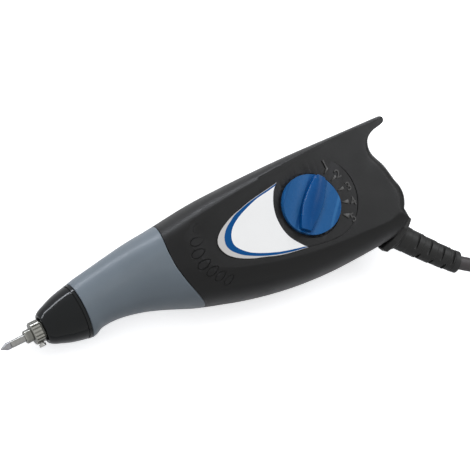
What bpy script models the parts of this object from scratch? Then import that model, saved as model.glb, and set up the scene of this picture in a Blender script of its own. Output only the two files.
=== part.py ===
"""Electric engraving pen, lying on the flat of its right shell with the stroke dial on top.

A clamshell housing holds a laminated core and its coil. The core pulls an armature on the drive rod forward, a spring
sends it back against a stop, and the chuck on the rod's front carries the engraving point. The dial's eccentric moves
the stop, which sets the stroke. Lengths are in metres. The pieces are placed in the pen's own frame: X runs back from
the tip of the point, Y up from the rod's axis to the spine, Z out of the middle plane to the dial side.
"""
from math import asin, cos, pi, radians, sin

import bmesh
import bpy
from mathutils import Matrix, Vector

# Fits
GAP = 0.0003
RUNNING_GAP = 0.0003
OVERRUN = 0.003

# Housing
HALF_THICKNESS = 0.020
SPINE_HEIGHT = 0.0205
BELLY_DEPTH = 0.0329
GRIP_FRONT_X = 0.0346
BODY_LENGTH = 0.1576
REST_SHARE = 0.60
WALL = 0.0025
SECTION_ARC_STEPS = 5
CAVITY_ARC_STEPS = 3
CAVITY_STATIONS = 9

# Each row: place along the body, top as a share of the spine height, bottom as a share of the belly depth, half
# thickness, then the height and the width of the rounding at the spine and at the belly
SECTION_SHARES = (
    (0.000, 0.580, 0.362, 0.595, 0.017, 0.98, 0.017, 0.98),
    (0.012, 0.600, 0.350, 0.595, 0.041, 0.98, -0.009, 0.98),
    (0.028, 0.624, 0.313, 0.590, 0.055, 0.98, -0.029, 0.98),
    (0.053, 0.654, 0.298, 0.595, 0.090, 0.98, -0.082, 0.98),
    (0.085, 0.693, 0.304, 0.620, 0.127, 0.98, -0.140, 0.98),
    (0.123, 0.741, 0.337, 0.670, 0.145, 0.98, -0.162, 0.98),
    (0.161, 0.785, 0.386, 0.740, 0.180, 0.98, -0.142, 0.98),
    (0.199, 0.820, 0.453, 0.810, 0.220, 0.98, -0.060, 0.98),
    (0.237, 0.844, 0.529, 0.875, 0.260, 0.98, 0.046, 0.98),
    (0.275, 0.873, 0.608, 0.925, 0.318, 0.98, 0.150, 0.98),
    (0.313, 0.907, 0.672, 0.960, 0.382, 0.96, 0.231, 0.98),
    (0.358, 0.941, 0.739, 0.990, 0.440, 0.88, 0.309, 0.97),
    (0.402, 0.961, 0.802, 1.000, 0.487, 0.80, 0.386, 0.93),
    (0.453, 0.978, 0.863, 1.000, 0.536, 0.72, 0.458, 0.90),
    (0.516, 0.990, 0.924, 1.000, 0.591, 0.62, 0.526, 0.88),
    (0.593, 1.000, 0.976, 1.000, 0.649, 0.50, 0.583, 0.85),
    (0.669, 0.995, 1.000, 1.000, 0.716, 0.37, 0.623, 0.83),
    (0.745, 0.985, 1.000, 1.000, 0.792, 0.25, 0.653, 0.80),
    (0.821, 0.966, 0.988, 1.000, 0.869, 0.16, 0.698, 0.75),
    (0.897, 0.937, 0.957, 0.980, 0.885, 0.13, 0.746, 0.60),
    (0.973, 0.898, 0.912, 0.950, 0.891, 0.13, 0.767, 0.50),
    (1.050, 0.859, 0.866, 0.920, 0.891, 0.13, 0.767, 0.50),
)

# Rear end in side view. Each row: place along the body, height as a share of the spine height, or of the belly depth
# where it is negative, and how much of the edge rounding it takes
REAR_SHARES = (
    (0.952, 1.171, 0.35),
    (0.953, 0.922, 0.35),
    (0.961, 0.888, 0.35),
    (0.966, 0.834, 0.35),
    (0.965, 0.776, 0.35),
    (0.958, 0.737, 0.35),
    (0.945, 0.693, 0.40),
    (0.933, 0.659, 0.42),
    (0.920, 0.615, 0.50),
    (0.910, 0.556, 0.60),
    (0.902, 0.468, 0.70),
    (0.898, 0.351, 0.80),
    (0.899, 0.244, 0.90),
    (0.905, 0.127, 1.00),
    (0.912, 0.000, 1.00),
    (0.919, -0.088, 1.00),
    (0.923, -0.198, 1.00),
    (0.927, -0.301, 1.00),
    (0.932, -0.398, 1.00),
    (0.934, -0.492, 1.00),
    (0.934, -0.578, 1.00),
    (0.932, -0.650, 0.90),
    (0.930, -0.717, 0.80),
)
NOTCH_SHARE = 0.8985
REAR_FACE_SHARE = 0.927
EDGE_ROUND = 0.007
EDGE_ROUND_DEPTH = 0.010
EDGE_ROUND_STEPS = 4
REGION_MARGIN = 0.012
REAR_WALL = 0.0045

# Grip boundary: the curve where the grey sleeve meets the shells
BOUNDARY_TOP_X = 0.0770
BOUNDARY_BOTTOM_X = 0.0812
BOUNDARY_TOP_SHARE = 0.87
BOUNDARY_BOTTOM_SHARE = 0.61
BOUNDARY_BOW = 0.0054
BOUNDARY_STEPS = 12

# Front neck of the shells, inside the sleeve
NECK_RADIUS = 0.0077
NECK_FRONT_LENGTH = 0.0194
NECK_MIDDLE_LENGTH = 0.0060
NECK_REAR_LENGTH = 0.0100
NECK_ROOT_LENGTH = 0.0140
NECK_MIDDLE_RADIUS = 0.0100
NECK_REAR_RADIUS = 0.0134
NECK_ROOT_RADIUS = 0.0158

# Nose cone
NOSE_FRONT_X = 0.0180
NOSE_FRONT_RADIUS = 0.0058
NOSE_REAR_RADIUS = 0.01165
NOSE_SHARES = ((0.0, 0.0), (0.018, 0.13), (0.12, 0.285), (0.25, 0.43), (0.49, 0.69), (0.74, 0.87), (1.0, 1.0))
NOSE_BORE_RADIUS = 0.0050
NOSE_THROAT_RADIUS = 0.0034
NOSE_BORE_DEPTH = 0.0130
SPIGOT_RADIUS = 0.0056
SPIGOT_LENGTH = 0.0093
COLLAR_RADIUS = 0.0062
COLLAR_LENGTH = 0.0018

# Engraving point and chuck
CARBIDE_LENGTH = 0.0042
CARBIDE_CONE_LENGTH = 0.0034
CARBIDE_TIP_RADIUS = 0.00012
SHANK_RADIUS = 0.0015
SHANK_LENGTH = 0.0170
CHUCK_FRONT_X = 0.0103
CHUCK_FRONT_LENGTH = 0.0031
CHUCK_FRONT_RADIUS = 0.0027
CHUCK_COLLAR_LENGTH = 0.0040
CHUCK_COLLAR_RADIUS = 0.0047
CHUCK_BODY_RADIUS = 0.0040
CHUCK_LENGTH = 0.0177
CHUCK_SOCKET_DEPTH = 0.0056
SET_SCREW_RADIUS = 0.0009
SET_SCREW_HEAD_RADIUS = 0.0014
SET_SCREW_HEAD_LENGTH = 0.0013

# Drive rod, bushes and spring
ROD_RADIUS = 0.0025
ROD_END_RADIUS = 0.0020
ROD_COLLAR_RADIUS = 0.0042
ROD_COLLAR_LENGTH = 0.0020
BUSH_RADIUS = 0.0053
BUSH_LENGTH = 0.0120
SPRING_CHAMBER_RADIUS = 0.0048
SPRING_LENGTH = 0.0086
SPRING_RADIUS = 0.0038
SPRING_WIRE_RADIUS = 0.00045
SPRING_CURLS = 5
SPRING_POINTS_PER_CURL = 10
CHAMBER_TAPER_LENGTH = 0.0070
BELL_RADIUS = 0.0108
BELL_REAR_RADIUS = 0.0132
RIB_LENGTH = 0.0070
BUSH_FLANGE_RADIUS = 0.0068
BUSH_FLANGE_LENGTH = 0.0012

# Stroke dial
DIAL_Y = -0.0036
DIAL_RADIUS = 0.0128
DIAL_RECESS_RADIUS = 0.0138
DIAL_RECESS_DEPTH = 0.0012
DIAL_HEIGHT = 0.0042
DIAL_EDGE = 0.0008
DIAL_RIDGE_WIDTH = 0.0079
DIAL_RIDGE_END_SHARE = 0.45
DIAL_RIDGE_STEPS = 8
DIAL_RIDGE_HEIGHT = 0.0020
DIAL_SCOOP_DEPTH = 0.0022
DIAL_SCOOP_RADIUS = 0.0155
DIAL_SCOOP_OFFSET = 0.0048
DIAL_SHAFT_RADIUS = 0.0040
DIAL_PIN_RADIUS = 0.0025
DIAL_POINTER_DEGREES = 47.0
DIAL_TRAVEL_DEGREES = 94.0
STOP_TRAVEL = 0.0015
WASHER_RADIUS = 0.0075
WASHER_THICKNESS = 0.0006
CAM_FLANGE_RADIUS = 0.0070
CAM_FLANGE_THICKNESS = 0.0013
CAM_RADIUS = 0.0050
CAM_THICKNESS = 0.0055
CAM_SCREW_RADIUS = 0.0011
CAM_SCREW_LENGTH = 0.0060
CAM_SCREW_HEAD_RADIUS = 0.0032
CAM_SCREW_HEAD_HEIGHT = 0.0020

# Stop slide and its guides
SLIDE_THICKNESS = 0.0042
SLIDE_BAR = 0.0021
SLIDE_PLATE_HALF_WIDTH = 0.0050
SLIDE_PLATE_DROP = 0.0050
RAIL_THICKNESS = 0.0020
RAIL_LIP = 0.0014
RAIL_LENGTH = 0.0140
BUMPER_RADIUS = 0.0030
BUMPER_THICKNESS = 0.0012

# Armature, core and coil
NUT_RADIUS = 0.0036
NUT_THICKNESS = 0.0022
NUT_SIDES = 6
ARMATURE_THICKNESS = 0.0045
AIR_GAP = 0.0015
CORE_CLEARANCE = 0.00385
CORE_LENGTH = 0.0220
CORE_YOKE = 0.0060
CORE_HALF_WIDTH = 0.0140
CORE_LEG_WIDTH = 0.0040
CORE_HALF_CENTRE = 0.0060
CORE_HALF_STACK = 0.0080
CORE_HOLE_RADIUS = 0.0031
BOBBIN_WALL = 0.0008
BOBBIN_FLANGE = 0.0010
BOBBIN_FLANGE_HALF_HEIGHT = 0.0125
WINDING_DEPTH = 0.0024
WINDING_CORNER_STEPS = 4
CORE_SCREW_RADIUS = 0.0015
CORE_SCREW_HEAD_RADIUS = 0.0026
CORE_SCREW_HEAD_HEIGHT = 0.0020
CORE_SCREW_DEPTH = 0.0055
CORE_POST_RADIUS = 0.0028
CORE_SCREW_INSET = 0.0035

# Label plate in its recess beside the dial
LABEL_NOSE_SET_BACK = 0.0440
LABEL_TOP_Y = 0.0111
LABEL_BOTTOM_Y = -0.0193
LABEL_UPPER_POWER = 1.25
LABEL_LOWER_POWER = 1.75
LABEL_THICKNESS = 0.0005
LABEL_RECESS_DEPTH = 0.0007
LABEL_CORNER_SET_BACK = 0.0090
LABEL_BITE_DEPTH = 0.0070
LABEL_STEPS = 10

# Housing screws
HOUSING_SCREW_RADIUS = 0.0014
HOUSING_SCREW_HEAD_RADIUS = 0.0027
HOUSING_SCREW_HEAD_HEIGHT = 0.0020
HOUSING_SCREW_SEAT_DEPTH = 0.0080
HOUSING_SCREW_LENGTH = 0.0180
BOSS_RADIUS = 0.0034
BOSS_CLEARANCE = 0.0008
BOSS_RIB_TOP_SHARE = 0.561
BOSS_RIB_BOTTOM_SHARE = 0.410
BOSS_MIDDLE_TOP_SHARE = 0.663
BOSS_MIDDLE_BOTTOM_SHARE = 0.714
BOSS_REAR_TOP_SET_BACK = 0.0162
BOSS_REAR_TOP_SHARE = 0.561
BOSS_REAR_BOTTOM_SET_BACK = 0.0160
BOSS_REAR_BOTTOM_SHARE = 0.745

# Rocker switch on the rear face, between the horn's notch and the cord guard
SWITCH_ALONG_SHARE = 0.9243
SWITCH_ABOVE_RELIEF = 0.0220
SWITCH_TILT_DEGREES = 11.0
SWITCH_BEZEL_LENGTH = 0.0150
SWITCH_BEZEL_WIDTH = 0.0105
SWITCH_BEZEL_THICKNESS = 0.0018
SWITCH_PROUD = 0.0004
SWITCH_BODY_LENGTH = 0.0132
SWITCH_BODY_WIDTH = 0.0086
SWITCH_BODY_DEPTH = 0.0076
SWITCH_WELL_DEPTH = 0.0050
SWITCH_RIM = 0.0012
TERMINAL_LENGTH = 0.0040
TERMINAL_WIDTH = 0.0028
TERMINAL_THICKNESS = 0.0008
TERMINAL_SPACING = 0.0060
ROCKER_RISE = 0.0020
ROCKER_DISH = 0.0008
ROCKER_DEPTH = 0.0014
ROCKER_BACK_SHARE = 0.86
ROCKER_FACE_SHARE = 0.96
ROCKER_TILT_DEGREES = 7.0
ROCKER_PIVOT_DEPTH = 0.0012

# Strain relief: a flanged grommet with a long guard, moulded on the cord
RELIEF_ALONG_SHARE = 0.8947
RELIEF_DROP_SHARE = 0.8967
RELIEF_DEGREES = -62.0
RELIEF_FLANGE_RADIUS = 0.0096
RELIEF_FLANGE_THICKNESS = 0.0030
RELIEF_NECK_RADIUS = 0.0049
RELIEF_WALL = 0.0030
RELIEF_SEAT_DEPTH = 0.0002
RELIEF_INNER_RADIUS = 0.0070
RELIEF_INNER_THICKNESS = 0.0020
RELIEF_STEP = 0.00005
GUARD_ROOT_RADIUS = 0.0060
GUARD_END_RADIUS = 0.00405
GUARD_LENGTH = 0.0310
GUARD_BEND_DEGREES = 27.0
GUARD_STEPS = 9
GUARD_SLOTS = 7
GUARD_SLOT_START = 0.0098
GUARD_SLOT_SPACING = 0.0027
GUARD_SLOT_WIDTH = 0.0008
GUARD_SLOT_DEPTH = 0.0011

# Cord
CORD_RADIUS = 0.0032
INNER_CORD_LENGTH = 0.0070
CLAMP_SET_BACK = 0.0029
CLAMP_SCREW_SPACING = 0.0092
CLAMP_BAR_LENGTH = 0.0130
CLAMP_BAR_WIDTH = 0.0042
CLAMP_BAR_THICKNESS = 0.0020
CLAMP_SCREW_RADIUS = 0.0009
CLAMP_SCREW_HEAD_RADIUS = 0.0018
CLAMP_SCREW_HEAD_HEIGHT = 0.0016
CLAMP_SCREW_DEPTH = 0.0060
CLAMP_POST_RADIUS = 0.0020
CLAMP_POST_DROP = 0.0024
WIRE_RADIUS = 0.0008
WIRE_SPACING = 0.0024
WIRE_LEAD = 0.0016

# Free cord from the guard to the coil, each point measured from the guard's end: along X, along Y and up
CORD_DEGREES = -35.0
CORD_ROUTE = (
    (0.0000, 0.0000, 0.0000),
    (0.0054, -0.0038, -0.0002),
    (0.0108, -0.0075, -0.0009),
    (0.0165, -0.0106, -0.0021),
    (0.0228, -0.0129, -0.0039),
    (0.0294, -0.0139, -0.0061),
    (0.0360, -0.0141, -0.0086),
    (0.0426, -0.0141, -0.0111),
    (0.0492, -0.0141, -0.0134),
    (0.0558, -0.0141, -0.0152),
    (0.0626, -0.0141, -0.0163),
    (0.0694, -0.0141, -0.0168),
    (0.0777, -0.0141, -0.0168),
    (0.0865, -0.0141, -0.0168),
)

# Coil that the rest of the cord is stored in: in along the floor, then out, in and out, each time a layer higher
COIL_DEGREES = 0.0
COIL_INNER_RADIUS = 0.0261
COIL_TURNS_PER_LAYER = 2
COIL_LAYERS = 4
COIL_PITCH = 0.0070
COIL_LAYER_HEIGHT = 0.0070
COIL_POINTS_PER_TURN = 24

# Last stretch, up onto the coil, each point measured from the coil's end: ahead, to the left and up
TAIL_ROUTE = (
    (0.0000, 0.0000, 0.0000),
    (0.0047, 0.0004, 0.0002),
    (0.0092, 0.0016, 0.0007),
    (0.0135, 0.0036, 0.0015),
    (0.0174, 0.0063, 0.0026),
    (0.0207, 0.0096, 0.0039),
    (0.0234, 0.0135, 0.0052),
    (0.0254, 0.0178, 0.0065),
    (0.0266, 0.0223, 0.0077),
    (0.0270, 0.0270, 0.0087),
    (0.0266, 0.0317, 0.0095),
    (0.0254, 0.0362, 0.0100),
    (0.0244, 0.0386, 0.0102),
    (0.0229, 0.0412, 0.0103),
)

# Plug, lying on the coil
PLUG_DEGREES = 120.0
PLUG_BOOT_LENGTH = 0.0120
PLUG_BOOT_RADIUS = 0.0046
PLUG_LENGTH = 0.0240
PLUG_WIDTH = 0.0240
PLUG_THICKNESS = 0.0130
PLUG_EDGE = 0.0020
BLADE_LENGTH = 0.0170
BLADE_WIDTH = 0.0062
BLADE_THICKNESS = 0.0015
BLADE_SPACING = 0.0127

# Facets
ROUND_STEPS = 32
SMALL_STEPS = 20
TINY_STEPS = 12
MERGE_DISTANCE = 0.00001

BLACK_PLASTIC = ("black_plastic", (0.020, 0.020, 0.022), 0.45, 0.0)
GREY_GRIP = ("grey_grip", (0.150, 0.180, 0.210), 0.50, 0.0)
GLOSS_BLACK = ("gloss_black", (0.008, 0.008, 0.009), 0.15, 0.0)
STEEL = ("steel", (0.560, 0.550, 0.520), 0.30, 1.0)
CARBIDE = ("carbide", (0.420, 0.420, 0.430), 0.25, 1.0)
BRONZE = ("bronze", (0.450, 0.280, 0.120), 0.40, 1.0)
CORE_STEEL = ("core_steel", (0.180, 0.180, 0.190), 0.55, 1.0)
NYLON = ("nylon", (0.620, 0.600, 0.540), 0.50, 0.0)
COPPER = ("copper", (0.700, 0.250, 0.100), 0.30, 1.0)
BLUE_PLASTIC = ("blue_plastic", (0.005, 0.080, 0.300), 0.35, 0.0)
WHITE_LABEL = ("white_label", (0.800, 0.790, 0.760), 0.40, 0.0)
RUBBER = ("black_rubber", (0.022, 0.021, 0.022), 0.60, 0.0)
BROWN_WIRE = ("brown_wire", (0.110, 0.050, 0.020), 0.50, 0.0)
BLUE_WIRE = ("blue_wire", (0.020, 0.080, 0.350), 0.50, 0.0)
BRASS = ("brass", (0.600, 0.430, 0.170), 0.35, 1.0)

for old in list(bpy.data.objects):
    bpy.data.objects.remove(old)
parts = bpy.data.collections.new("electric_engraving_pen")
cutters = bpy.data.collections.new("cutters")
bpy.context.scene.collection.children.link(parts)
bpy.context.scene.collection.children.link(cutters)


# Places worked out from the sizes above
def along(share):
    return GRIP_FRONT_X + share * BODY_LENGTH


NOSE_REAR_X = GRIP_FRONT_X - GAP
CHUCK_REAR_X = CHUCK_FRONT_X + CHUCK_LENGTH
COLLAR_REAR_X = NOSE_REAR_X + SPIGOT_LENGTH
BUSH_FRONT_X = COLLAR_REAR_X + 2 * GAP
BUSH_REAR_X = BUSH_FRONT_X + BUSH_LENGTH
SPRING_FRONT_X = BUSH_REAR_X + 2 * GAP
ROD_COLLAR_X = SPRING_FRONT_X + SPRING_LENGTH + GAP
CHAMBER_REAR_X = ROD_COLLAR_X - ROD_COLLAR_LENGTH
NECK_ROOT_X = GRIP_FRONT_X + NECK_FRONT_LENGTH + NECK_MIDDLE_LENGTH + NECK_REAR_LENGTH + NECK_ROOT_LENGTH
RIB_X = NECK_ROOT_X - GAP
CAVITY_X = RIB_X + RIB_LENGTH
CORE_X = CAVITY_X + GAP + BUSH_FLANGE_LENGTH + CORE_CLEARANCE
CORE_REAR_X = CORE_X + CORE_LENGTH
ARMATURE_X = CORE_REAR_X + AIR_GAP
NUT_X = ARMATURE_X + ARMATURE_THICKNESS + GAP
ROD_END_X = NUT_X + NUT_THICKNESS + GAP
BUMPER_X = ROD_END_X + GAP
SLIDE_FRONT_X = BUMPER_X + BUMPER_THICKNESS + GAP
SLIDE_HALF_OPENING_X = CAM_RADIUS + RUNNING_GAP
CAM_X = SLIDE_FRONT_X + SLIDE_BAR + SLIDE_HALF_OPENING_X
ECCENTRICITY = STOP_TRAVEL / 2 / sin(radians(DIAL_TRAVEL_DEGREES / 2))
CAM_DEGREES = 90.0 + DIAL_TRAVEL_DEGREES / 2
DIAL_X = CAM_X - ECCENTRICITY * cos(radians(CAM_DEGREES))
CAM_Y = DIAL_Y + ECCENTRICITY * sin(radians(CAM_DEGREES))
SLIDE_HALF_OPENING_Y = CAM_RADIUS + ECCENTRICITY + RUNNING_GAP
REST_X = along(REST_SHARE)
REST_Y = DIAL_Y
OUTER_FACE = HALF_THICKNESS
INNER_FACE = HALF_THICKNESS - WALL
DIAL_SEAT = OUTER_FACE - DIAL_RECESS_DEPTH
WASHER_TOP = INNER_FACE - GAP
CAM_TOP = WASHER_TOP - WASHER_THICKNESS - GAP
CAM_FLANGE_BOTTOM = CAM_TOP - CAM_FLANGE_THICKNESS
CAM_BOTTOM = CAM_FLANGE_BOTTOM - CAM_THICKNESS
SLIDE_TOP = CAM_FLANGE_BOTTOM - RUNNING_GAP
SLIDE_BOTTOM = SLIDE_TOP - SLIDE_THICKNESS
RELIEF_X = along(RELIEF_ALONG_SHARE)
RELIEF_Y = -RELIEF_DROP_SHARE * BELLY_DEPTH
SWITCH_X = along(SWITCH_ALONG_SHARE) + SWITCH_PROUD
SWITCH_Y = RELIEF_Y + SWITCH_ABOVE_RELIEF
HOUSING_SCREW_PLACES = (
    (RIB_X + RIB_LENGTH / 2, BOSS_RIB_TOP_SHARE * SPINE_HEIGHT),
    (RIB_X + RIB_LENGTH / 2, -BOSS_RIB_BOTTOM_SHARE * BELLY_DEPTH),
    (ARMATURE_X + ARMATURE_THICKNESS + BOSS_RADIUS + BOSS_CLEARANCE, BOSS_MIDDLE_TOP_SHARE * SPINE_HEIGHT),
    (ROD_END_X - NUT_THICKNESS, -BOSS_MIDDLE_BOTTOM_SHARE * BELLY_DEPTH),
    (along(NOTCH_SHARE) - BOSS_REAR_TOP_SET_BACK, BOSS_REAR_TOP_SHARE * SPINE_HEIGHT),
    (RELIEF_X - BOSS_REAR_BOTTOM_SET_BACK, -BOSS_REAR_BOTTOM_SHARE * BELLY_DEPTH),
)


# Frames
def empty(name, location=(0, 0, 0), degrees_z=0.0, parent=None):
    frame = bpy.data.objects.new(name, None)
    frame.location = location
    frame.rotation_euler = (0, 0, radians(degrees_z))
    frame.parent = parent
    parts.objects.link(frame)
    return frame


pen = empty("pen_frame", (-REST_X, -REST_Y, HALF_THICKNESS))
plunger_frame = empty("plunger_frame", (CHUCK_FRONT_X, 0, 0), 0.0, pen)
dial_frame = empty("dial_frame", (DIAL_X, DIAL_Y, 0), 0.0, pen)
slide_frame = empty("slide_frame", (CAM_X, DIAL_Y, 0), 0.0, pen)
switch_frame = empty("switch_frame", (SWITCH_X, SWITCH_Y, 0), SWITCH_TILT_DEGREES, pen)
rocker_frame = empty("rocker_frame", (-ROCKER_PIVOT_DEPTH, 0, 0), ROCKER_TILT_DEGREES, switch_frame)
relief_frame = empty("relief_frame", (RELIEF_X, RELIEF_Y, 0), RELIEF_DEGREES, pen)


# Materials
def material(look):
    name, colour, roughness, metallic = look
    known = bpy.data.materials.get(name)
    if known:
        return known
    made = bpy.data.materials.new(name)
    made.use_nodes = True
    shader = made.node_tree.nodes["Principled BSDF"]
    shader.inputs["Base Color"].default_value = (*colour, 1.0)
    shader.inputs["Roughness"].default_value = roughness
    shader.inputs["Metallic"].default_value = metallic
    made.diffuse_color = (*colour, 1.0)
    return made


# Shapes
AXIS_TURNS = {"X": (0, pi / 2, 0), "Y": (-pi / 2, 0, 0), "Z": (0, 0, 0)}


def place(obj, look, parent, location=(0, 0, 0), turn=(0, 0, 0)):
    obj.parent = parent
    obj.location = location
    obj.rotation_euler = turn
    if look:
        obj.data.materials.append(material(look))
        parts.objects.link(obj)
    else:
        obj.hide_render = True
        obj.display_type = "WIRE"
        cutters.objects.link(obj)
    return obj


def turned(name, look, parent, outer, inner=(), at=(0, 0, 0), axis="X", steps=SMALL_STEPS):
    """A turned piece. outer and inner are (place along the axis, radius) in rising order; without inner it is solid."""
    profile = [(radius, height) for height, radius in reversed(outer)]
    if inner:
        profile += [(radius, height) for height, radius in inner]
    else:
        profile = [(0.0, profile[0][1])] + profile + [(0.0, profile[-1][1])]
    edges = [(i, i + 1) for i in range(len(profile) - 1)]
    if inner:
        edges.append((len(profile) - 1, 0))
    mesh = bpy.data.meshes.new(name)
    mesh.from_pydata([(radius, 0.0, height) for radius, height in profile], edges, [])
    obj = place(bpy.data.objects.new(name, mesh), look, parent, at, AXIS_TURNS[axis])
    screw = obj.modifiers.new("turn", "SCREW")
    screw.axis = "Z"
    screw.steps = steps
    screw.render_steps = steps
    screw.use_merge_vertices = True
    screw.merge_threshold = MERGE_DISTANCE
    screw.use_smooth_shade = False
    return obj


def box(name, look, parent, low, high, bevel=0.0):
    """A box between two corners, with its edges rounded where bevel is set."""
    size = [b - a for a, b in zip(low, high)]
    middle = [(a + b) / 2 for a, b in zip(low, high)]
    mesh = bpy.data.meshes.new(name)
    shape = bmesh.new()
    bmesh.ops.create_cube(shape, size=1.0, matrix=Matrix.Translation(middle) @ Matrix.Diagonal((*size, 1.0)))
    shape.to_mesh(mesh)
    shape.free()
    obj = place(bpy.data.objects.new(name, mesh), look, parent)
    if bevel:
        rounding = obj.modifiers.new("edges", "BEVEL")
        rounding.width = bevel
        rounding.segments = 2
    return obj


def curve_to_mesh(name, curve, look, parent, at=(0, 0, 0), turn=(0, 0, 0)):
    """The curve as a closed mesh, its caps welded."""
    guide = bpy.data.objects.new(name + "_curve", curve)
    cutters.objects.link(guide)
    graph = bpy.context.evaluated_depsgraph_get()
    mesh = bpy.data.meshes.new_from_object(guide.evaluated_get(graph))
    bpy.data.objects.remove(guide)
    shape = bmesh.new()
    shape.from_mesh(mesh)
    bmesh.ops.remove_doubles(shape, verts=shape.verts, dist=MERGE_DISTANCE)
    bmesh.ops.recalc_face_normals(shape, faces=shape.faces)
    shape.to_mesh(mesh)
    shape.free()
    mesh.name = name
    return place(bpy.data.objects.new(name, mesh), look, parent, at, turn)


def flat_outline(name, look, parent, loops, low, high, turn=(0, 0, 0), at=(0, 0, 0)):
    """A flat outline with any holes, from its low to its high face along its own Z."""
    curve = bpy.data.curves.new(name, "CURVE")
    curve.dimensions = "2D"
    curve.fill_mode = "BOTH"
    curve.extrude = (high - low) / 2
    for loop in loops:
        spline = curve.splines.new("POLY")
        spline.points.add(len(loop) - 1)
        for point, (x, y) in zip(spline.points, loop):
            point.co = (x, y, 0.0, 1.0)
        spline.use_cyclic_u = True
    obj = curve_to_mesh(name, curve, look, parent, at, turn)
    obj.data.transform(Matrix.Translation((0, 0, (low + high) / 2)))
    return obj


def tube(name, look, parent, points, radius, sides_level, shares=None):
    """A round tube through the points. shares scales its radius at each point."""
    curve = bpy.data.curves.new(name, "CURVE")
    curve.dimensions = "3D"
    curve.bevel_depth = radius
    curve.bevel_resolution = sides_level
    curve.use_fill_caps = True
    curve.twist_mode = "MINIMUM"
    spline = curve.splines.new("POLY")
    spline.points.add(len(points) - 1)
    for i, point in enumerate(spline.points):
        point.co = (*points[i], 1.0)
        point.radius = shares[i] if shares else 1.0
    return curve_to_mesh(name, curve, look, parent)


def loft(name, look, parent, rings):
    """A closed body through rings of equal point count, which no single tool makes between unlike sections."""
    count = len(rings[0])
    faces = []
    for r in range(len(rings) - 1):
        a = r * count
        b = a + count
        faces += [(a + i, a + (i + 1) % count, b + (i + 1) % count, b + i) for i in range(count)]
    faces.append(tuple(reversed(range(count))))
    faces.append(tuple(range((len(rings) - 1) * count, len(rings) * count)))
    mesh = bpy.data.meshes.new(name)
    mesh.from_pydata([point for ring in rings for point in ring], [], faces)
    shape = bmesh.new()
    shape.from_mesh(mesh)
    bmesh.ops.recalc_face_normals(shape, faces=shape.faces)
    shape.to_mesh(mesh)
    shape.free()
    return place(bpy.data.objects.new(name, mesh), look, parent)


def combine(target, tool, operation):
    step = target.modifiers.new(operation.lower() + "_" + tool.name, "BOOLEAN")
    step.operation = operation
    step.object = tool
    step.solver = "EXACT"


def cut(target, *tools):
    for tool in tools:
        combine(target, tool, "DIFFERENCE")


# Housing form
def table_row(share):
    """The section row at any place along the body."""
    for low, high in zip(SECTION_SHARES, SECTION_SHARES[1:]):
        if share <= high[0]:
            break
    t = (share - low[0]) / (high[0] - low[0])
    return [a + (b - a) * t for a, b in zip(low, high)]


def body_section(row, inset, steps):
    """One ring of the housing, its spine and belly rounded by quarter ellipses, drawn in by inset."""
    share, top, bottom, half, upper_share, upper_width, lower_share, lower_width = row
    x = along(share)
    top_y = top * SPINE_HEIGHT - inset
    bottom_y = inset - bottom * BELLY_DEPTH
    half_z = half * HALF_THICKNESS - inset
    upper_y = upper_share * top_y
    lower_y = lower_share * bottom_y
    side = []
    for i in range(steps + 1):
        angle = pi / 2 * i / steps
        z = half_z * (1 - upper_width + upper_width * sin(angle))
        side.append((x, upper_y + (top_y - upper_y) * cos(angle), z))
    for i in range(steps + 1):
        angle = pi / 2 * (1 - i / steps)
        z = half_z * (1 - lower_width + lower_width * sin(angle))
        side.append((x, lower_y + (bottom_y - lower_y) * cos(angle), z))
    return side + [(px, py, -pz) for px, py, pz in reversed(side)]


def boundary_points(shift):
    """The front edge of the shells in side view, from belly to spine, bowed forward."""
    low_y = -BELLY_DEPTH
    high_y = SPINE_HEIGHT + WALL
    bottom_y = -BELLY_DEPTH * BOUNDARY_BOTTOM_SHARE
    top_y = SPINE_HEIGHT * BOUNDARY_TOP_SHARE
    points = []
    for i in range(BOUNDARY_STEPS + 1):
        y = low_y + (high_y - low_y) * i / BOUNDARY_STEPS
        t = (y - bottom_y) / (top_y - bottom_y)
        x = BOUNDARY_BOTTOM_X + (BOUNDARY_TOP_X - BOUNDARY_BOTTOM_X) * t - 4 * BOUNDARY_BOW * t * (1 - t)
        points.append((x + shift, y))
    return points


relief_ahead = Vector((cos(radians(RELIEF_DEGREES)), sin(radians(RELIEF_DEGREES))))
relief_side = Vector((-relief_ahead.y, relief_ahead.x))
relief_origin = Vector((RELIEF_X, RELIEF_Y)) - GAP * relief_ahead


def shell_region():
    """What the shells keep of the housing form: behind the grip boundary, ahead of the rear end, above the relief."""
    front = boundary_points(0.0)
    outline = [(x, y, 0.0) for x, y in front]
    outline[0] = (front[0][0], -BELLY_DEPTH - REGION_MARGIN, 0.0)
    outline[-1] = (front[-1][0], SPINE_HEIGHT + REGION_MARGIN, 0.0)
    outline.append((along(REAR_SHARES[0][0]), SPINE_HEIGHT + REGION_MARGIN, REAR_SHARES[0][2]))
    for share, height, rounding in REAR_SHARES:
        full = SPINE_HEIGHT if height > 0 else BELLY_DEPTH
        outline.append((along(share), height * full, rounding))
    last = Vector(outline[-1][:2])
    reach = (relief_origin - last).dot(relief_ahead) / relief_ahead.y
    corner = Vector((last.x, last.y + reach))
    outline.append((corner.x, corner.y, REAR_SHARES[-1][2]))
    foot = corner - relief_side * 3 * RELIEF_FLANGE_RADIUS
    outline.append((foot.x, foot.y, 0.0))
    outline.append((foot.x, -BELLY_DEPTH - REGION_MARGIN, 0.0))
    flat = HALF_THICKNESS - EDGE_ROUND_DEPTH
    rise = EDGE_ROUND_DEPTH + GAP
    angles = [pi / 2 * i / EDGE_ROUND_STEPS for i in range(EDGE_ROUND_STEPS + 1)]
    levels = [(1 - cos(a), -(flat + rise * sin(a))) for a in reversed(angles)]
    levels += [(1 - cos(a), flat + rise * sin(a)) for a in angles]
    rings = [[(x - EDGE_ROUND * rounding * inset, y, z) for x, y, rounding in outline] for inset, z in levels]
    return loft("shell_region", None, pen, rings)


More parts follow.
